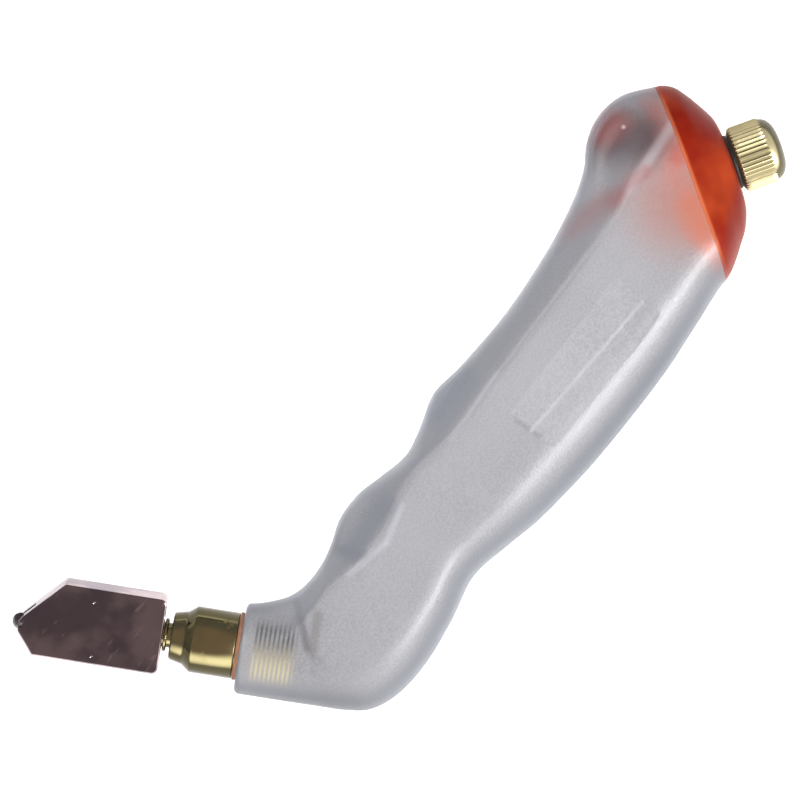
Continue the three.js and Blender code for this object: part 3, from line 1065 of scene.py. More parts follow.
@dataclass(frozen=True)
class TablePaper(Finish):
    """The plain pale table."""

    def paint(self, kit: ShaderKit, shader: bpy.types.Node, place: object) -> None:
        """Near-white paper with the faintest mottling."""
        noise = kit.add("ShaderNodeTexNoise", Vector=place, Scale=30.0)
        color = kit.blend(noise.outputs["Fac"], self.rgba(), self.rgba(0.99))
        kit.join(color, shader.inputs["Base Color"])
        shader.inputs["Roughness"].default_value = self.roughness


# ---- the grip's form -----------------------------------------------------------------------


@dataclass(frozen=True)
class Section:
    """One slice across the grip, from its front point under the fingers to its back point.

    crease is the exponent where the front rounding meets the side: 2 is an ellipse, and near 1
    leaves a ridge. scoop is how deep the rounding is hollowed between its front and that ridge.
    """

    front: tuple[float, float]
    back: tuple[float, float]
    front_round: float
    back_round: float
    half: float
    crease: float = 2.0
    scoop: float = 0.0

    def values(self) -> list[float]:
        """Every size of the section in one list, for blending."""
        rounds = [self.front_round, self.back_round, self.half]
        return [*self.front, *self.back, *rounds, self.crease, self.scoop]


def in_frame(x: float, y: float, turn: float, origin: tuple[float, float]) -> tuple[float, float]:
    """A point of a turned frame, in the grip frame.

    Args:
        x: the point's place along the turned frame's X.
        y: its place along the turned frame's Y.
        turn: the turned frame's angle in degrees.
        origin: the turned frame's origin.

    Returns:
        The point in the grip frame.
    """
    c, s = math.cos(math.radians(turn)), math.sin(math.radians(turn))
    return (origin[0] + x * c - y * s, origin[1] + x * s + y * c)


NOZZLE_TURN = 118.0
CAP_TURN = -33.0
CAP_ORIGIN = (112.1, -14.1)


def nozzle(x: float, y: float) -> tuple[float, float]:
    """A point of the nozzle's frame, in the grip frame."""
    return in_frame(x, y, NOZZLE_TURN, (0.0, 0.0))


def cap(x: float, y: float) -> tuple[float, float]:
    """A point of the cap's frame, in the grip frame."""
    return in_frame(x, y, CAP_TURN, CAP_ORIGIN)


@dataclass
class GripForm:
    """The outer form that grip and cap share, from the nozzle's mouth to the cap's face."""

    half_thickness: float = 12.4
    wall: float = 2.3
    bore_radius: float = 5.3
    bore_shift: float = -0.3
    bore_end: float = 3.0
    cavity_start: float = 3.25
    seam: float = 21.0
    scoop_spread: float = 1.1
    sections: list[Section] = field(default_factory=list)

    def __post_init__(self) -> None:
        """Lists the sections."""
        side = self.half_thickness
        self.sections = [
            Section(nozzle(0, -7.95), nozzle(0, 7.95), 7.95, 7.95, 7.95, 2, 0),
            Section(nozzle(-3, -8.6), nozzle(-4, 7.95), 8.2, 8.2, 8.1, 2, 0),
            Section(nozzle(-7, -10.3), nozzle(-9, 7.95), 7.6, 8.6, 8.8, 1.7, 0.3),
            Section((16, -2.5), nozzle(-14.5, 7.9), 5.2, 8.8, 9.8, 1.4, 0.8),
            Section((20.5, -2.5), nozzle(-20, 7.8), 4.6, 8.8, 10.7, 1.4, 0.4),
            Section((24.5, -1.6), (5.4, -24.8), 6.6, 8.8, 11.3, 1.3, 1.4),
            Section((28, -0.4), (10.5, -27), 8.6, 8.6, 11.7, 1.25, 1.8),
            Section((31.2, -0.1), (17.5, -27.6), 8.9, 8.2, 11.9, 1.25, 1.6),
            Section((34.8, -0.4), (26, -26.7), 7.4, 7.4, 12, 1.25, 1.1),
            Section((39, -1.6), (34.5, -25.1), 4.4, 6.6, 12, 1.4, 0.4),
            Section((44.5, -2.8), (42, -26.5), 2.8, 7, 12.1, 1.5, 0),
            Section((50, -1.8), (49, -28.2), 4.8, 8, 12.3, 1.35, 0.8),
            Section((56, -0.2), (56, -29.2), 7.2, 8.8, side, 1.25, 1.4),
            Section((63, -1.1), (64, -30), 6, 9.3, side, 1.35, 0.7),
            Section((74.5, -1.8), (75, -30.4), 5.4, 9.2, side, 1.5, 0.3),
            Section((87, -1.1), (84, -30.4), 6.2, 8.8, side, 1.45, 0.4),
            Section((96, 0.3), (89.5, -30), 7.8, 8.6, side, 1.35, 0.9),
            Section((102.5, 2.2), (93.5, -29.7), 10, 8.2, side, 1.25, 1.6),
            Section((107.5, 5), (96.3, -29.45), 12.4, 8, side, 1.2, 2.3),
            Section((112.5, 6), (98.6, -29.25), 13.4, 8, 12.3, 1.2, 2.2),
            Section((117.5, 4.8), (100.5, -29.1), 12.8, 8, 12.15, 1.25, 1.2),
            Section(cap(0, 18.25), cap(0, -17.95), 11.8, 8, 11.9, 1.35, 0.4),
            Section(cap(1.5, 17.95), cap(1.5, -16.8), 11, 8, 11.5, 1.45, 0.2),
            Section(cap(3.2, 16.9), cap(3.2, -14.9), 10.4, 8, 10.6, 1.6, 0),
            Section(cap(4.8, 14.8), cap(4.8, -12.8), 9.6, 8, 9.4, 1.75, 0),
            Section(cap(6.35, 12.2), cap(6.35, -10.7), 8.8, 8, 8.2, 1.85, 0),
            Section(cap(7.5, 10), cap(7.5, -8.2), 8, 7.4, 7.2, 1.9, 0),
            Section(cap(7.9, 8.6), cap(7.9, -6.6), 7.6, 7.4, 6.4, 2, 0),
        ]

    def at(self, place: float) -> Section:
        """The section at a place between the listed ones, on a smooth curve through them.

        Args:
            place: the section's number, with a fraction.

        Returns:
            The section there.
        """
        top = len(self.sections) - 1
        i = min(max(math.floor(place), 0), top - 1)
        t = place - i
        near = [self.sections[min(max(k, 0), top)].values() for k in (i - 1, i, i + 1, i + 2)]
        mixed = []
        for a, b, c, d in zip(*near):
            cubic = 2 * a - 5 * b + 4 * c - d + t * (3 * (b - c) + d - a)
            mixed.append(b + t * (c - a + t * cubic) / 2)
        fx, fy, bx, by, front, back, half, crease, scoop = mixed
        half = min(half, self.half_thickness)
        return Section((fx, fy), (bx, by), front, back, half, crease, max(scoop, 0.0))

    def arc(self, place: float, inset: float, cells: tuple[int, int]) -> Ring:
        """Half a section's outline, from its front point over the left side to its back point.

        Args:
            place: the section's place.
            inset: how far the outline is drawn in.
            cells: steps of each rounding, and steps of the flat between them.

        Returns:
            Points in the grip frame, with z from 0 up and back to 0.
        """
        s = self.at(place)
        front = Vector((*s.front, 0.0))
        along = Vector((*s.back, 0.0)) - front
        length = along.length - 2 * inset
        along.normalize()
        half = s.half - inset
        front_round = min(max(s.front_round - inset / 2, 1.0), length / 2)
        back_round = min(max(s.back_round - inset / 2, 1.0), length / 2)
        rounding, flat = cells
        outline = []
        for i in range(rounding + 1):
            turn = i / rounding * math.pi / 2
            share = 1 - max(math.cos(turn), 0.0) ** (2 / s.crease)
            spread = min(share * self.scoop_spread, 1.0)
            hollow = s.scoop * math.sin(math.pi * spread) ** 2
            outline.append((front_round * share, half * math.sin(turn) - hollow))
        for i in range(1, flat):
            outline.append((front_round + (length - front_round - back_round) * i / flat, half))
        for i in range(rounding, -1, -1):
            turn = i / rounding * math.pi / 2
            reach = length - back_round * (1 - math.cos(turn))
            outline.append((reach, half * math.sin(turn)))
        return [front + along * (inset + reach) + Vector((0, 0, z)) for reach, z in outline]

    def bore_arc(self, place: float, cells: tuple[int, int]) -> Ring:
        """Half the nozzle's round bore, where a section's plane crosses it.

        Args:
            place: the section's place.
            cells: steps, as for arc.

        Returns:
            Points in the grip frame.
        """
        s = self.at(place)
        turn = math.radians(-NOZZLE_TURN)
        spin = Matrix.Rotation(turn, 2)
        front, back = spin @ Vector(s.front), spin @ Vector(s.back)
        count = 2 * cells[0] + cells[1]
        points = []
        for i in range(count + 1):
            angle = math.pi * i / count
            y = self.bore_shift - self.bore_radius * math.cos(angle)
            share = (y - front.y) / (back.y - front.y)
            x = front.x + share * (back.x - front.x)
            gx, gy = nozzle(x, y)
            points.append(Vector((gx, gy, self.bore_radius * math.sin(angle))))
        return points


# ---- sub-assemblies ------------------------------------------------------------------------


@dataclass
class Finishes:
    """Every finish of the tool, with the axes that their patterns follow."""

    frames: ToolFrames

    def __post_init__(self) -> None:
        """Makes the finishes."""
        head_axis = self.frames.head.x
        cap_axis = self.frames.cap.x
        brass = (0.64, 0.55, 0.28)
        self.frosted = FrostedPlastic(
            "frosted_plastic",
            (0.38, 0.38, 0.4),
            0.36,
            seam=self.frames.cap.origin,
            seam_axis=cap_axis,
            mouth=self.frames.head.origin,
            nozzle_axis=head_axis,
            nozzle_side=self.frames.head.z.cross(head_axis),
            grip_origin=self.frames.grip.origin,
            spots=(
                # Painted red glow and tint, standing for the red cap seen through the wall.
                Spot((111.5, -17.0), (108.0, -14.5), 14.0, (0.45, 0.26, 0.23), 0.8),
                Spot((107.4, -20.6), (109.0, -17.0), 5.6, (0.56, 0.2, 0.11), 0.6),
                Spot((115.2, -9.0), (114.0, -9.4), 2.6, (0.5, 0.1, 0.06), 0.5),
                # Painted shade in the pommel's dish.
                Spot((113.0, -2.0), (110.0, 2.0), 8.0, (0.12, 0.08, 0.09), 0.9),
                # Painted red tint seen through the wall.
                Spot((110.1, 4.0), (112.5, 3.6), 5.0, (0.35, 0.07, 0.06), 0.6),
                # Painted highlight along the pommel's crease.
                Spot((118.2, -5.2), (104.5, -5.9), 1.5, (0.62, 0.65, 0.7), 0.5),
                # Painted red streaks seen through the wall.
                Spot((108.6, -6.2), (101.0, -4.6), 2.0, (0.4, 0.13, 0.13), 0.5),
                Spot((101.5, -4.6), (92.5, -1.8), 3.2, (0.42, 0.16, 0.15), 0.5),
                # A pale dot at the pommel's pip.
                Spot((112.8, 1.3), (112.82, 1.3), 0.55, (0.8, 0.78, 0.78), 0.7),
                # Painted shadow in the V where the nozzle meets the first finger groove.
                Spot((12.6, -3.2), (7.4, -9.4), 1.1, (0.16, 0.15, 0.17), 0.65),
                Spot((13.2, -7.4), (7.2, -10.4), 1.4, (0.22, 0.2, 0.19), 0.5),
                # Painted shade in the finger scoops.
                Spot((24.4, -4.4), (26.0, -7.2), 1.8, (0.16, 0.17, 0.22), 0.4),
                Spot((25.2, -4.9), (35.8, -5.2), 3.0, (0.2, 0.23, 0.29), 0.45),
                Spot((53.6, -3.0), (61.5, -3.2), 3.2, (0.2, 0.24, 0.32), 0.4),
                # Painted highlights along the finger ridges.
                Spot((22.2, -7.4), (30.3, -9.2), 0.9, (0.6, 0.61, 0.65), 0.4),
                Spot((30.3, -9.2), (37.2, -7.4), 0.9, (0.6, 0.61, 0.65), 0.4),
                Spot((51.5, -7.3), (65.2, -6.6), 1.0, (0.6, 0.61, 0.65), 0.3),
                # Painted shade along the back facet.
                Spot((19.4, -30.4), (96.0, -30.9), 5.0, (0.13, 0.135, 0.16), 0.65),
                # Painted shade at the panel's lower end.
                Spot((60.9, -14.4), (60.9, -16.8), 0.9, (0.22, 0.22, 0.24), 0.4),
                Spot((61.0, -18.3), (61.2, -19.2), 0.9, (0.22, 0.22, 0.24), 0.35),
                # A painted highlight line across the panel.
                Spot((60.9, -17.5), (90.3, -19.5), 0.5, (0.65, 0.65, 0.68), 0.35),
            ),
        )
        self.red = RedPlastic(
            "red_plastic",
            (0.25, 0.012, 0.004),
            0.34,
            seam=self.frames.cap.origin,
            seam_axis=cap_axis,
        )
        self.ferrule_brass = TurnedMetal("brass_ferrule", brass, 0.1, head_axis)
        self.filler_brass = TurnedMetal(
            "brass_filler", (0.85, 0.75, 0.42), 0.3, cap_axis, metallic=0.6
        )
        self.plating = PlatedMetal("head_plating", (0.62, 0.5, 0.52), 0.07)
        self.carbide = PlatedMetal("wheel_carbide", (0.2, 0.21, 0.22), 0.22)
        self.steel = TurnedMetal("spring_steel", (0.55, 0.56, 0.58), 0.22, head_axis)
        self.rubber = SoftSolid("rubber", (0.02, 0.02, 0.02), 0.6)
        self.fibre = SoftSolid("orange_fibre", (0.28, 0.13, 0.07), 0.8)
        self.felt = SoftSolid("felt_thread", (0.8, 0.76, 0.66), 0.95, grain_height=0.0001)


@dataclass
class GripBody:
    """The two moulded half shells of the grip and the red end cap."""

    form: GripForm
    frames: ToolFrames
    finishes: Finishes
    outer_cells: tuple[int, int] = (20, 10)
    steps_per_section: int = 8
    weld_gap: float = 0.04
    panel: tuple[float, float, float, float] = (60.8, -23.5, 30.1, 10.3)
    panel_depth: float = 0.2
    panel_draft: float = 0.15
    panel_slope: float = 0.6
    seam_gap: float = 0.02
    spigot_clearance: float = 0.15
    spigot_wall: float = 1.8
    spigot_length: float = 1.7
    cap_steps: int = 14
    hollow_length: float = 3.2
    bush_bore: float = 4.6
    mouth_round: float = 1.1
    mouth_spacing: float = 3.3
    mouth_places: tuple[float, ...] = (0.0, 0.02, 0.06, 0.12, 0.19, 0.27)

    def shell(self, name: str, side: Side) -> bpy.types.Object:
        """Makes one half shell.

        Args:
            name: the piece's name.
            side: which side of the tool.

        Returns:
            The closed shell, with its joint face at the mid-plane.
        """
        end = self.form.seam - self.seam_gap
        steps = round(end * self.steps_per_section)
        places = [end * k / steps for k in range(steps + 1)]
        loops = []
        for place in (*self.mouth_places, *places[3:]):
            outer = self.form.arc(place, self.mouth_inset(place), self.outer_cells)
            if place <= self.form.bore_end:
                inner = self.form.bore_arc(place, self.outer_cells)
            elif place < self.form.cavity_start:
                continue
            else:
                inner = self.form.arc(place, self.form.wall, self.outer_cells)
            loop = [*outer, *reversed(inner)]
            loops.append([self.to_side(point, side) for point in loop])
        points, faces = Shaper.skin(loops, closed_ends=False)
        count = len(loops[0])
        last = (len(loops) - 1) * count
        for i in range(count // 2 - 1):
            j = count - 1 - i
            faces.append([i, i + 1, j - 1, j])
            faces.append([last + i, last + j, last + j - 1, last + i + 1])
        return Shaper.from_data(name, points, faces, self.frames.grip)

    def mouth_inset(self, place: float) -> float:
        """How far the nozzle's outline is drawn in where it rounds over at the mouth.

        Args:
            place: the section's place.

        Returns:
            The inset in millimetres.
        """
        short = max(self.mouth_round - place * self.mouth_spacing, 0.0)
        return self.mouth_round - math.sqrt(self.mouth_round**2 - short**2)

    def to_side(self, point: Vector, side: Side) -> Vector:
        """Moves a point clear of the mid-plane and to its side.

        Args:
            point: a point of the left half.
            side: the side it goes to.

        Returns:
            The moved point.
        """
        lift = self.weld_gap / 2
        scale = 1 - lift / self.form.half_thickness
        return Vector((point.x, point.y, side.value * (lift + point.z * scale)))

    def panel_tool(self) -> bpy.types.Object:
        """The block that sinks the blank label panel into the left side."""
        x, y, length, width = self.panel
        rim, draft = self.form.half_thickness, self.panel_draft
        floor = (rim - self.panel_depth, draft - self.panel_slope)
        levels = (floor, (rim, draft), (rim + 3, draft))
        block = Shaper.slab((x, y), (x + length, y + width), levels)
        return Shaper.from_data("panel_tool", *block, self.frames.grip)

    def cap_piece(self) -> bpy.types.Object:
        """Makes the end cap: outer skin, spigot, hollow and the boss for the filler bush.

        Returns:
            The cap as one closed object.
        """
        form = self.form
        top = len(form.sections) - 1
        inset = form.wall + self.spigot_clearance
        start = form.seam - self.spigot_length

        def ring(place: float, inset_by: float) -> Ring:
            """A whole section's outline, drawn in by a distance."""
            half = form.arc(place, inset_by, self.outer_cells)
            far = [Vector((p.x, p.y, -p.z)) for p in reversed(half[1:-1])]
            return [*half, *far]

        rings = []
        steps = self.cap_steps
        for k in range(steps + 1):
            rings.append(ring(start + (form.seam - start) * k / steps, inset))
        for k in range(8 * steps + 1):
            rings.append(ring(form.seam + (top - form.seam) * k / (8 * steps), 0.0))
        body = Shaper.from_data("end_cap", *Shaper.skin(rings), self.frames.grip)
        deep = inset + self.spigot_wall
        hollow = []
        for k in range(steps + 1):
            hollow.append(ring(start - 0.2 + self.hollow_length * k / steps, deep))
        hollow_tool = Shaper.from_data("hollow", *Shaper.skin(hollow), self.frames.grip)
        bore = [(-4, 0), (-4, self.bush_bore), (12, self.bush_bore), (12, 0)]
        placement = self.frames.cap.shifted(y=ToolFrames.FILLER_SHIFT)
        bore_tool = Shaper.from_data("bore", *Shaper.turned(bore, Round.MEDIUM), placement)
        return Shaper.cut(body, [hollow_tool, bore_tool])

    def build(self) -> None:
        """Makes the shells and the cap, dresses them and sets them on the grip's body."""
        for side in Side:
            name = f"grip_shell_{side.name.lower()}"
            piece = self.shell(name + "_moulding", side)
            if side is Side.LEFT:
                Shaper.cut(piece, [self.panel_tool()])
            Shaper.dress(piece, self.finishes.frosted)
            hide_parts(name)
            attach(piece, "grip")
            LOG.info("grip shell %s: %d faces", side.name.lower(), len(piece.data.polygons))
        lid = self.cap_piece()
        lid.name = "end_cap_moulding"
        Shaper.dress(lid, self.finishes.red)
        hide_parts("end_cap")
        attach(lid, "grip")
        LOG.info("end cap: %d faces", len(lid.data.polygons))


@dataclass
class Filler:
    """The knurled brass filler screw, its sealing ring and its bush."""

    frames: ToolFrames
    finishes: Finishes
    strand: WoundStrand
    knurl: KnurlRing
    screw_radius: float = 2.9
    screw_back: float = 0.6
    cap_end: float = 7.9
    knob_back: float = 8.85
    knob_shoulder: float = 14.7
    knob_front: float = 17.3
    knob_radius: float = 5.85
    ridges: int = 44
    ridge: float = 0.36
    dome_power: float = 0.62
    pitch: float = 1.0
    thread_depth: float = 0.3
    vent_station: float = 10.95
    vent_radius: float = 0.35
    vent_turn: float = -46.0
    gasket_radius: float = 4.9

    def place(self) -> Placement:
        """The frame on the screw's axis."""
        return self.frames.cap.shifted(y=ToolFrames.FILLER_SHIFT)

    def screw(self) -> bpy.types.Object:
        """The knob's core with its domed end, the shank, and the vent."""
        root = self.screw_radius - self.thread_depth
        core = self.knob_radius - 0.3
        profile = [(self.screw_back, 0.0), (self.screw_back, root - 0.3)]
        profile += [(self.screw_back + 0.3, root), (self.knob_back - 0.5, root)]
        profile += [(self.knob_back, root - 0.1), (self.knob_back, core - 0.7)]
        profile += [(self.knob_back + 0.1, core - 0.45), (self.knob_back + 0.5, core)]
        profile += [(self.knob_shoulder, core)]
        dome = self.knob_front - self.knob_shoulder
        for i in range(1, 25):
            turn = math.pi / 2 * i / 24
            reach = self.knob_shoulder + dome * math.sin(turn)
            profile.append((reach, core * math.cos(turn) ** self.dome_power))
        body = Shaper.from_data(
            "filler_screw_body", *Shaper.turned(profile, Round.FINE), self.place()
        )
        hole = [(-1.0, 0.0), (-1.0, 0.7), (self.vent_station + 0.3, 0.7)]
        hole += [(self.vent_station + 0.3, 0.0)]
        axial = Shaper.from_data("axial", *Shaper.turned(hole, Round.SMALL), self.place())
        side = [(0.0, 0.0), (0.0, self.vent_radius), (8.0, self.vent_radius), (8.0, 0.0)]
        points, faces = Shaper.turned(side, Round.SMALL)
        turn = Matrix.Rotation(math.radians(self.vent_turn), 4, "X")
        turn = turn @ Matrix.Rotation(math.radians(90), 4, "Y") @ Matrix.Rotation(math.pi, 4, "Z")
        points = [turn @ Vector(p) + Vector((self.vent_station, 0, 0)) for p in points]
        radial = Shaper.from_data("radial", points, faces, self.place())
        return Shaper.cut(body, [axial, radial])

    def build(self) -> None:
        """Makes and dresses the filler's pieces."""
        brass = self.finishes.filler_brass
        body = Shaper.dress(self.screw(), brass)
        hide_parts("filler_screw")
        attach(body, "filler")
        length = self.knob_shoulder - self.knob_back
        ridge = self.ridge
        grip_ring = self.knurl.grow(
            "filler_knurling",
            self.place().upright(self.knob_back + 0.3),
            Ridges=self.ridges,
            Radius=self.knob_radius - ridge,
            Length=length - 0.1,
            Ridge_Radius=ridge,
            Material=brass.material(),
        )
        turns = (self.knob_back - 1.2 - self.screw_back) / self.pitch
        thread = self.strand.grow(
            "filler_thread",
            self.place().upright(self.screw_back + 0.4),
            Turns=turns,
            Radius=self.screw_radius - self.thread_depth - 0.05,
            Length=turns * self.pitch,
            Strand_Radius=self.thread_depth + 0.02,
            Strand_Sides=4,
            Material=brass.material(),
        )
        for piece in (grip_ring, thread):
            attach(piece, "filler")
        LOG.info("filler screw: %d ridges, %.1f turns of thread", self.ridges, turns)
        seal = self.seal()
        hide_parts("filler_gasket")
        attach(seal, "filler_seal")
        Shaper.dress(bpy.data.objects["filler_bush"], self.finishes.filler_brass)
        LOG.info("filler seal and bush")

    def seal(self) -> bpy.types.Object:
        """The soft ring under the knob, with rounded edges."""
        back, front = self.cap_end + 0.1, self.knob_back - 0.1
        middle, half = (back + front) / 2, (front - back) / 2
        profile = [(back, self.screw_radius + 0.08), (back, self.gasket_radius - half)]
        for i in range(9):
            turn = math.pi * i / 8
            edge = self.gasket_radius - half + half * math.sin(turn)
            profile.append((middle - half * math.cos(turn), edge))
        profile += [(front, self.screw_radius + 0.08)]
        points, faces = Shaper.turned(profile, Round.MEDIUM, closed=True)
        piece = Shaper.from_data("filler_seal_ring", points, faces, self.place())
        return Shaper.dress(piece, self.finishes.rubber)


@dataclass
class Ferrule:
    """The brass ferrule in the nozzle, with the valve parts that it holds."""

    frames: ToolFrames
    finishes: Finishes
    strand: WoundStrand
    radius: float = 5.85
    back: float = -12.0
    front: float = 12.2
    root_radius: float = 4.65
    crest_radius: float = 5.1
    pitch: float = 0.8
    turns: float = 9.0
    thread_front: float = -1.9
    bore: float = 2.27
    chamber: float = 3.4
    chamber_front: float = 4.0
    spring_foot: float = -7.9
    spring_length: float = 9.7
    wire: float = 0.3
    travel: float = 0.62

    def body(self) -> bpy.types.Object:
        """The turned ferrule: shank, barrel, shoulder and nose, bored through."""
        outside = [(self.back, self.root_radius - 0.4), (self.back + 0.4, self.root_radius)]
        outside += [(0.8, self.root_radius), (0.8, self.radius - 0.2)]
        outside += [(0.84, self.radius - 0.08), (0.95, self.radius)]
        outside += [(8.1, self.radius), (8.35, self.radius - 0.03), (8.5, self.radius - 0.14)]
        outside += [(9.65, 4.82), (9.8, 4.68), (10.1, 4.62)]
        outside += [(11.9, 4.2), (12.1, 4.1), (self.front, 3.95)]
        inside = [(self.front, self.bore + 0.15), (self.front - 0.15, self.bore)]
        inside += [(9.3, self.bore), (9.3, 3.3), (8.2, 3.3), (8.2, self.bore)]
        inside += [(self.chamber_front, self.bore), (self.chamber_front, self.chamber)]
        inside += [(-8.95, self.chamber), (-8.95, 3.85), (-9.65, 3.85), (-9.65, self.chamber)]
        inside += [(self.back, self.chamber)]
        points, faces = Shaper.turned([*outside, *inside], Round.FINE, closed=True)
        return Shaper.from_data("ferrule_body", points, faces, self.frames.head)

    def build(self) -> None:
        """Makes and dresses the ferrule's pieces."""
        brass = self.finishes.ferrule_brass
        body = Shaper.dress(self.body(), brass)
        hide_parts("ferrule")
        thread = self.strand.grow(
            "ferrule_thread",
            self.frames.head.upright(self.thread_front - self.turns * self.pitch),
            Turns=self.turns,
            Radius=self.root_radius,
            Length=self.turns * self.pitch,
            Strand_Radius=self.crest_radius - self.root_radius,
            Strand_Sides=4,
            Steps_per_Turn=56,
            Material=brass.material(),
        )
        for piece in (body, thread):
            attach(piece, "grip")
        washer = [(0.1, 4.8), (0.1, 5.9), (0.2, 5.98), (0.6, 5.98), (0.7, 5.9), (0.7, 4.8)]
        points, faces = Shaper.turned(washer, Round.MEDIUM, closed=True)
        gasket = Shaper.from_data("ferrule_washer", points, faces, self.frames.head)
        Shaper.dress(gasket, self.finishes.fibre)
        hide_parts("ferrule_gasket")
        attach(gasket, "grip")
        spring = self.strand.grow(
            "valve_spring_coil",
            self.frames.head.upright(self.spring_foot),
            Turns=6.5,
            Radius=2.45,
            Length=self.spring_length,
            Strand_Radius=self.wire,
            Strand_Sides=12,
            Runout=0.001,
            Material=self.finishes.steel.material(),
        )
        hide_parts("valve_spring")
        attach(spring, "grip")
        foot = self.frames.head.shifted(x=self.spring_foot - self.wire)
        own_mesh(spring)
        for node, finish in (
            ("retaining_clip", self.finishes.steel),
            ("spring_washer", self.finishes.steel),
            ("stem_o_ring", self.finishes.rubber),
            ("valve_seal", self.finishes.rubber),
        ):
            Shaper.dress(bpy.data.objects[node], finish)
        LOG.info("ferrule: %.0f turns of thread, gasket, spring and valve", self.turns)


@dataclass
class CutterHead:
    """The plated head with its wheel, on the brass stem that slides and turns in the ferrule."""

    frames: ToolFrames
    finishes: Finishes
    strand: WoundStrand
    back: float = 13.7
    half_width: float = 6.88
    thickness: float = 4.7
    bevel: float = 0.28
    corner: float = 1.1
    wheel_radius: float = 1.55
    wheel_thickness: float = 1.0
    slot_width: float = 1.3
    slot_depth: float = 2.1
    wheel_spot: tuple[float, float] = (38.6, 1.66)
    stem_front: float = 19.5
    stem_back: float = -10.4
    dimples: tuple[tuple[float, float], ...] = ((26.2, -4.3), (25.4, 5.5))
    wick_back: float = -13.3
    wick_length: float = 48.5
    flat_area: float = 3e-6

    def outline(self) -> list[tuple[float, float]]:
        """The block's outline: rounded rear corners and an off-centre nose."""
        w, r = self.half_width, self.corner
        points = []
        for i in range(7):
            turn = math.pi / 2 * i / 6
            x = self.back + r - r * math.cos(turn)
            points.append((x, -w + r - r * math.sin(turn)))
        points += [(31.7, -w), (38.45, 0.25), (38.95, 1.1), (39.1, 1.8), (38.95, 2.9), (36.0, w)]
        for i in range(7):
            turn = math.pi / 2 * i / 6
            x = self.back + r - r * math.sin(turn)
            points.append((x, w - r + r * math.cos(turn)))
        return points

    def block(self) -> bpy.types.Object:
        """The bevelled block with its wheel slot, axle hole, stem bore and two centre marks."""
        half = self.thickness / 2
        rings = [[Vector((x, y, z)) for x, y in self.outline()] for z in (-half, half)]
        piece = Shaper.from_data("head_block_body", *Shaper.skin(rings), self.frames.swivel)
        edge = piece.modifiers.new("edges", "BEVEL")
        edge.width = self.bevel * MM
        edge.segments = 3
        edge.limit_method = "ANGLE"
        edge.angle_limit = math.radians(40)
        Shaper.bake(piece)
        x, y = self.wheel_spot
        cutters = [self.slot_tool(x, y)]
        axle = [(-4, 0), (-4, 0.48), (4, 0.48), (4, 0)]
        cutters.append(self.across("axle_tool", axle, x, y))
        stem = [(self.back - 2, 0), (self.back - 2, 2.3), (self.stem_front + 0.2, 2.3)]
        stem += [(self.stem_front + 0.2, 0)]
        cutters.append(self.lathe("stem_tool", stem, Round.MEDIUM))
        for dx, dy in self.dimples:
            for side in (1, -1):
                mark = [(half - 0.18, 0), (half + 0.1, 0.42), (half + 0.1, 0)]
                cutters.append(self.across("mark_tool", [(side * a, b) for a, b in mark], dx, dy))
        Shaper.cut(piece, cutters)
        Shaper.flatten(piece.data, self.flat_area)
        return piece

    def slot_tool(self, x: float, y: float) -> bpy.types.Object:
        """The block that clears the wheel's slot.

        Args:
            x: the wheel's place along the stem.
            y: its place across.

        Returns:
            The block.
        """
        half = self.slot_width / 2
        levels = ((-half, 0.0), (half, 0.0))
        block = Shaper.slab((x - self.slot_depth, y - 5), (x + 6, y + 5), levels)
        return Shaper.from_data("slot_tool", *block, self.frames.swivel)

    def across(self, name: str, profile: Profile, x: float, y: float) -> bpy.types.Object:
        """Turns a profile about an axis across the block, at a place on its face.

        Args:
            name: the piece's name.
            profile: the (height, radius) points.
            x: the axis's place along the stem.
            y: its place across.

        Returns:
            The turned piece.
        """
        points, faces = Shaper.turned(profile, Round.SMALL)
        spin = Matrix.Rotation(math.radians(-90), 4, "Y")
        moved = [spin @ Vector(p) + Vector((x, y, 0)) for p in points]
        return Shaper.from_data(name, moved, faces, self.frames.swivel)

    def lathe(self, name: str, profile: Profile, facets: Round, closed: bool = False) -> object:
        """Turns a profile about the stem's axis.

        Args:
            name: the piece's name.
            profile: the (x, radius) points.
            facets: how many facets go round.
            closed: whether the profile's last point joins its first.

        Returns:
            The turned piece.
        """
        points, faces = Shaper.turned(profile, facets, closed)
        return Shaper.from_data(name, points, faces, self.frames.swivel)

    def stem(self) -> bpy.types.Object:
        """The hollow stem with its valve flange."""
        profile = [(self.stem_back, 0.62), (self.stem_back, 1.4), (self.stem_back + 0.15, 1.5)]
        profile += [(2.4, 1.5), (2.4, 3.1), (2.45, 3.15), (3.15, 3.15), (3.2, 3.1), (3.2, 2.2)]
        profile += [(self.stem_front, 2.2), (self.stem_front, 0.62)]
        return self.lathe("head_stem_body", profile, Round.MEDIUM, closed=True)

    def wheel(self) -> bpy.types.Object:
        """The wheel: two ground cones that meet in a fine edge, with polished flats."""
        r, half = self.wheel_radius, self.wheel_thickness / 2
        profile = [(-half, 0.5), (-half, r - 0.42), (-half + 0.03, r - 0.38), (-0.02, r)]
        profile += [(0.02, r), (half - 0.03, r - 0.38), (half, r - 0.42), (half, 0.5)]
        points, faces = Shaper.turned(profile, Round.FINE, closed=True)
        return self.at_wheel("cutting_wheel_body", points, faces)

    def axle(self) -> bpy.types.Object:
        """The wheel's axle, flush with the block and chamfered."""
        half = self.thickness / 2 - 0.2
        profile = [(-half, 0), (-half, 0.36), (-half + 0.08, 0.44), (half - 0.08, 0.44)]
        profile += [(half, 0.36), (half, 0)]
        points, faces = Shaper.turned(profile, Round.SMALL)
        return self.at_wheel("wheel_axle_body", points, faces)

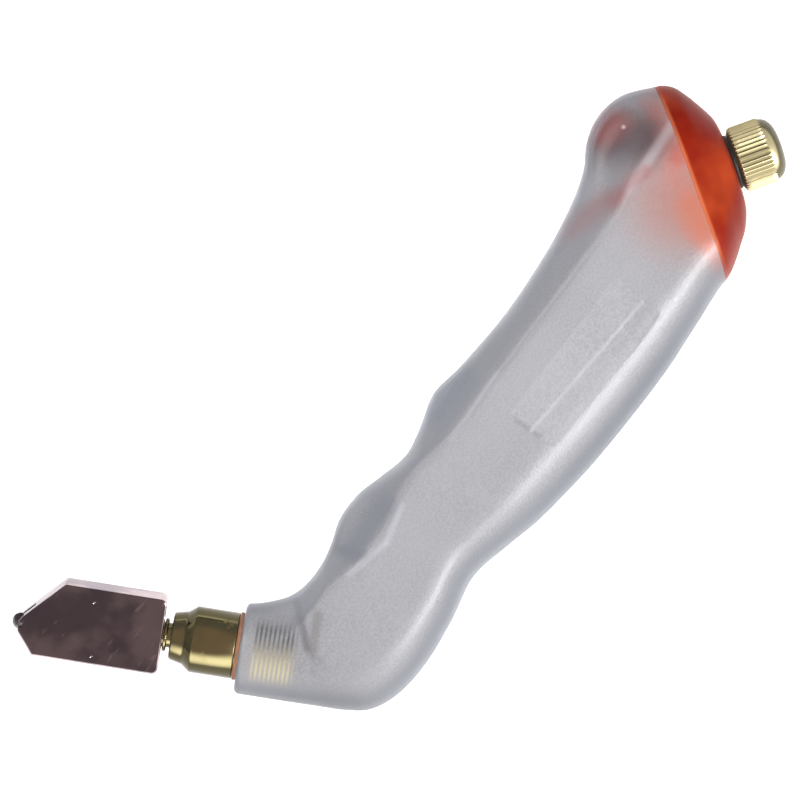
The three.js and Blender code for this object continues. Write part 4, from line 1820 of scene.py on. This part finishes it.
    def at_wheel(self, name: str, points: list, faces: list) -> bpy.types.Object:
        """Stands a turned piece on the wheel's axis.

        Args:
            name: the piece's name.
            points: its points.
            faces: its faces.

        Returns:
            The piece.
        """
        at = self.frames.wheel
        side = at.z.cross(at.x)
        return Shaper.from_data(name, points, faces, Placement(at.origin, at.z, side))

    def build(self) -> None:
        """Makes and dresses the head's pieces."""
        collar = [(12.9, 2.22), (12.9, 2.7), (12.97, 2.86), (13.1, 2.95), (13.35, 2.95)]
        collar += [(13.48, 2.86), (13.55, 2.7), (13.55, 2.22)]
        made = (
            (self.block(), "head_block", "chrome", self.finishes.plating, "head"),
            (self.stem(), "head_stem", "brass", self.finishes.ferrule_brass, "head"),
            (
                self.lathe("stem_collar_body", collar, Round.MEDIUM, closed=True),
                "stem_collar",
                "brass",
                self.finishes.ferrule_brass,
                "head",
            ),
            (self.axle(), "wheel_axle", "spring_steel", self.finishes.steel, "head"),
            (self.wheel(), "cutting_wheel", "carbide", self.finishes.carbide, "wheel"),
        )
        for piece, node, slot, finish, body in made:
            Shaper.dress(piece, finish)
            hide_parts(node)
            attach(piece, body)
            LOG.info("%s: %d faces", node, len(piece.data.polygons))
        yarn = self.strand.grow(
            "oil_wick_yarn",
            self.frames.swivel.upright(self.wick_back),
            Turns=16.0,
            Radius=0.24,
            Length=self.wick_length,
            Strand_Radius=0.26,
            Strand_Sides=8,
            Steps_per_Turn=12,
            Runout=0.002,
            Strands=3,
            Material=self.finishes.felt.material(),
        )
        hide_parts("oil_wick")
        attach(yarn, "head")
        LOG.info("oil wick")


# ---- stage ---------------------------------------------------------------------------------


@dataclass
class Studio:
    """A plain pale table, soft light and the camera."""

    frames: ToolFrames
    table_half: float = 3.0
    distance: float = 1.0
    field_width: float = 0.140
    aim: tuple[float, float] = (-0.0017, 0.0015)
    roll: float = 53.0
    key_power: float = 5.5
    rim_power: float = 5.0
    lamp_size: float = 0.2
    sky: float = 1.5
    bright_wall: tuple[float, float, float, float] = (1.0, 1.0, 0.98, 1.0)
    dim_wall: tuple[float, float, float, float] = (0.07, 0.07, 0.075, 1.0)
    ceiling: tuple[float, float, float, float] = (0.125, 0.102, 0.099, 1.0)

    def table(self) -> None:
        """The table top under the tool."""
        size = self.table_half
        block = Shaper.slab((-size, -size), (size, size), ((-0.02, 0.0), (0.0, 0.0)))
        points, faces = block
        mesh = bpy.data.meshes.new("table")
        mesh.from_pydata([tuple(p) for p in points], [], faces)
        Shaper.tidy(mesh)
        table = bpy.data.objects.new("table", mesh)
        bpy.context.scene.collection.objects.link(table)
        Shaper.dress(table, TablePaper("table_paper", (0.9, 0.9, 0.9), 0.8))

    def sky_light(self) -> None:
        """A sky that is bright on one side, dim on the other and dark overhead."""
        world = bpy.data.worlds.new("sky")
        bpy.context.scene.world = world
        world.use_nodes = True
        kit = ShaderKit(world.node_tree)
        direction = kit.add("ShaderNodeTexCoord").outputs["Generated"]
        height = kit.dot(direction, Vector((0, 0, 1)))
        away = kit.dot(direction, Vector((0.65, 0.76, 0.0)))
        walls = kit.blend(kit.ramp(away, -0.75, -0.15, 0.0, 1.0), self.bright_wall, self.dim_wall)
        overhead = kit.ramp(height, 0.45, 0.8, 0.0, 1.0)
        color = kit.blend(overhead, walls, self.ceiling)
        ground = world.node_tree.nodes["Background"]
        kit.join(color, ground.inputs["Color"])
        ground.inputs["Strength"].default_value = self.sky

    def lamp(self, name: str, place: Vector, power: float, mirrored: bool) -> None:
        """A square soft light that faces the tool.

        Args:
            name: the lamp's name.
            place: where it hangs.
            power: in watts.
            mirrored: whether polished surfaces show it.
        """
        data = bpy.data.lights.new(name, "AREA")
        data.size = self.lamp_size
        data.energy = power
        data.use_shadow = False
        lamp = bpy.data.objects.new(name, data)
        lamp.visible_glossy = mirrored
        lamp.matrix_world = Matrix.Translation(place) @ (-place).to_track_quat(
            "-Z", "Y"
        ).to_matrix().to_4x4()
        bpy.context.scene.collection.objects.link(lamp)

    def camera(self) -> None:
        """A long lens straight above the tool."""
        lens = bpy.data.cameras.new("camera")
        lens.sensor_width = 36.0
        lens.lens = 36.0 * self.distance / self.field_width
        camera = bpy.data.objects.new("camera", lens)
        turn = math.radians(-self.roll)
        height = self.frames.grip.origin.z + self.distance
        spot = Vector((self.aim[0], self.aim[1], height))
        camera.matrix_world = Matrix.Translation(spot) @ Matrix.Rotation(turn, 4, "Z")
        bpy.context.scene.collection.objects.link(camera)
        bpy.context.scene.camera = camera

    def build(self) -> None:
        """Sets the stage."""
        bpy.context.scene.view_settings.view_transform = "Standard"
        self.table()
        self.sky_light()
        up = Vector((math.sin(math.radians(self.roll)), math.cos(math.radians(self.roll)), 0))
        right = Vector((up.y, -up.x, 0))
        high = Vector((0, 0, 1))
        spot = right * 0.5 + up * -0.25 + high * 0.5
        self.lamp("key", spot, self.key_power, True)
        spot = right * -0.45 + up * 0.3 + high * 0.6
        self.lamp("rim", spot, self.rim_power, False)
        self.camera()


def main() -> None:
    """Builds the tool piece by piece around its frame."""
    logging.basicConfig(level=logging.INFO, format="%(message)s")
    for thing in list(bpy.data.objects):
        bpy.data.objects.remove(thing)
    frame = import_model()
    frames = ToolFrames.read(frame)
    Studio(frames).build()
    finishes = Finishes(frames)
    strand = WoundStrand()
    GripBody(GripForm(), frames, finishes).build()
    Filler(frames, finishes, strand, KnurlRing()).build()
    Ferrule(frames, finishes, strand).build()
    CutterHead(frames, finishes, strand).build()


if __name__ == "__main__":
    main()
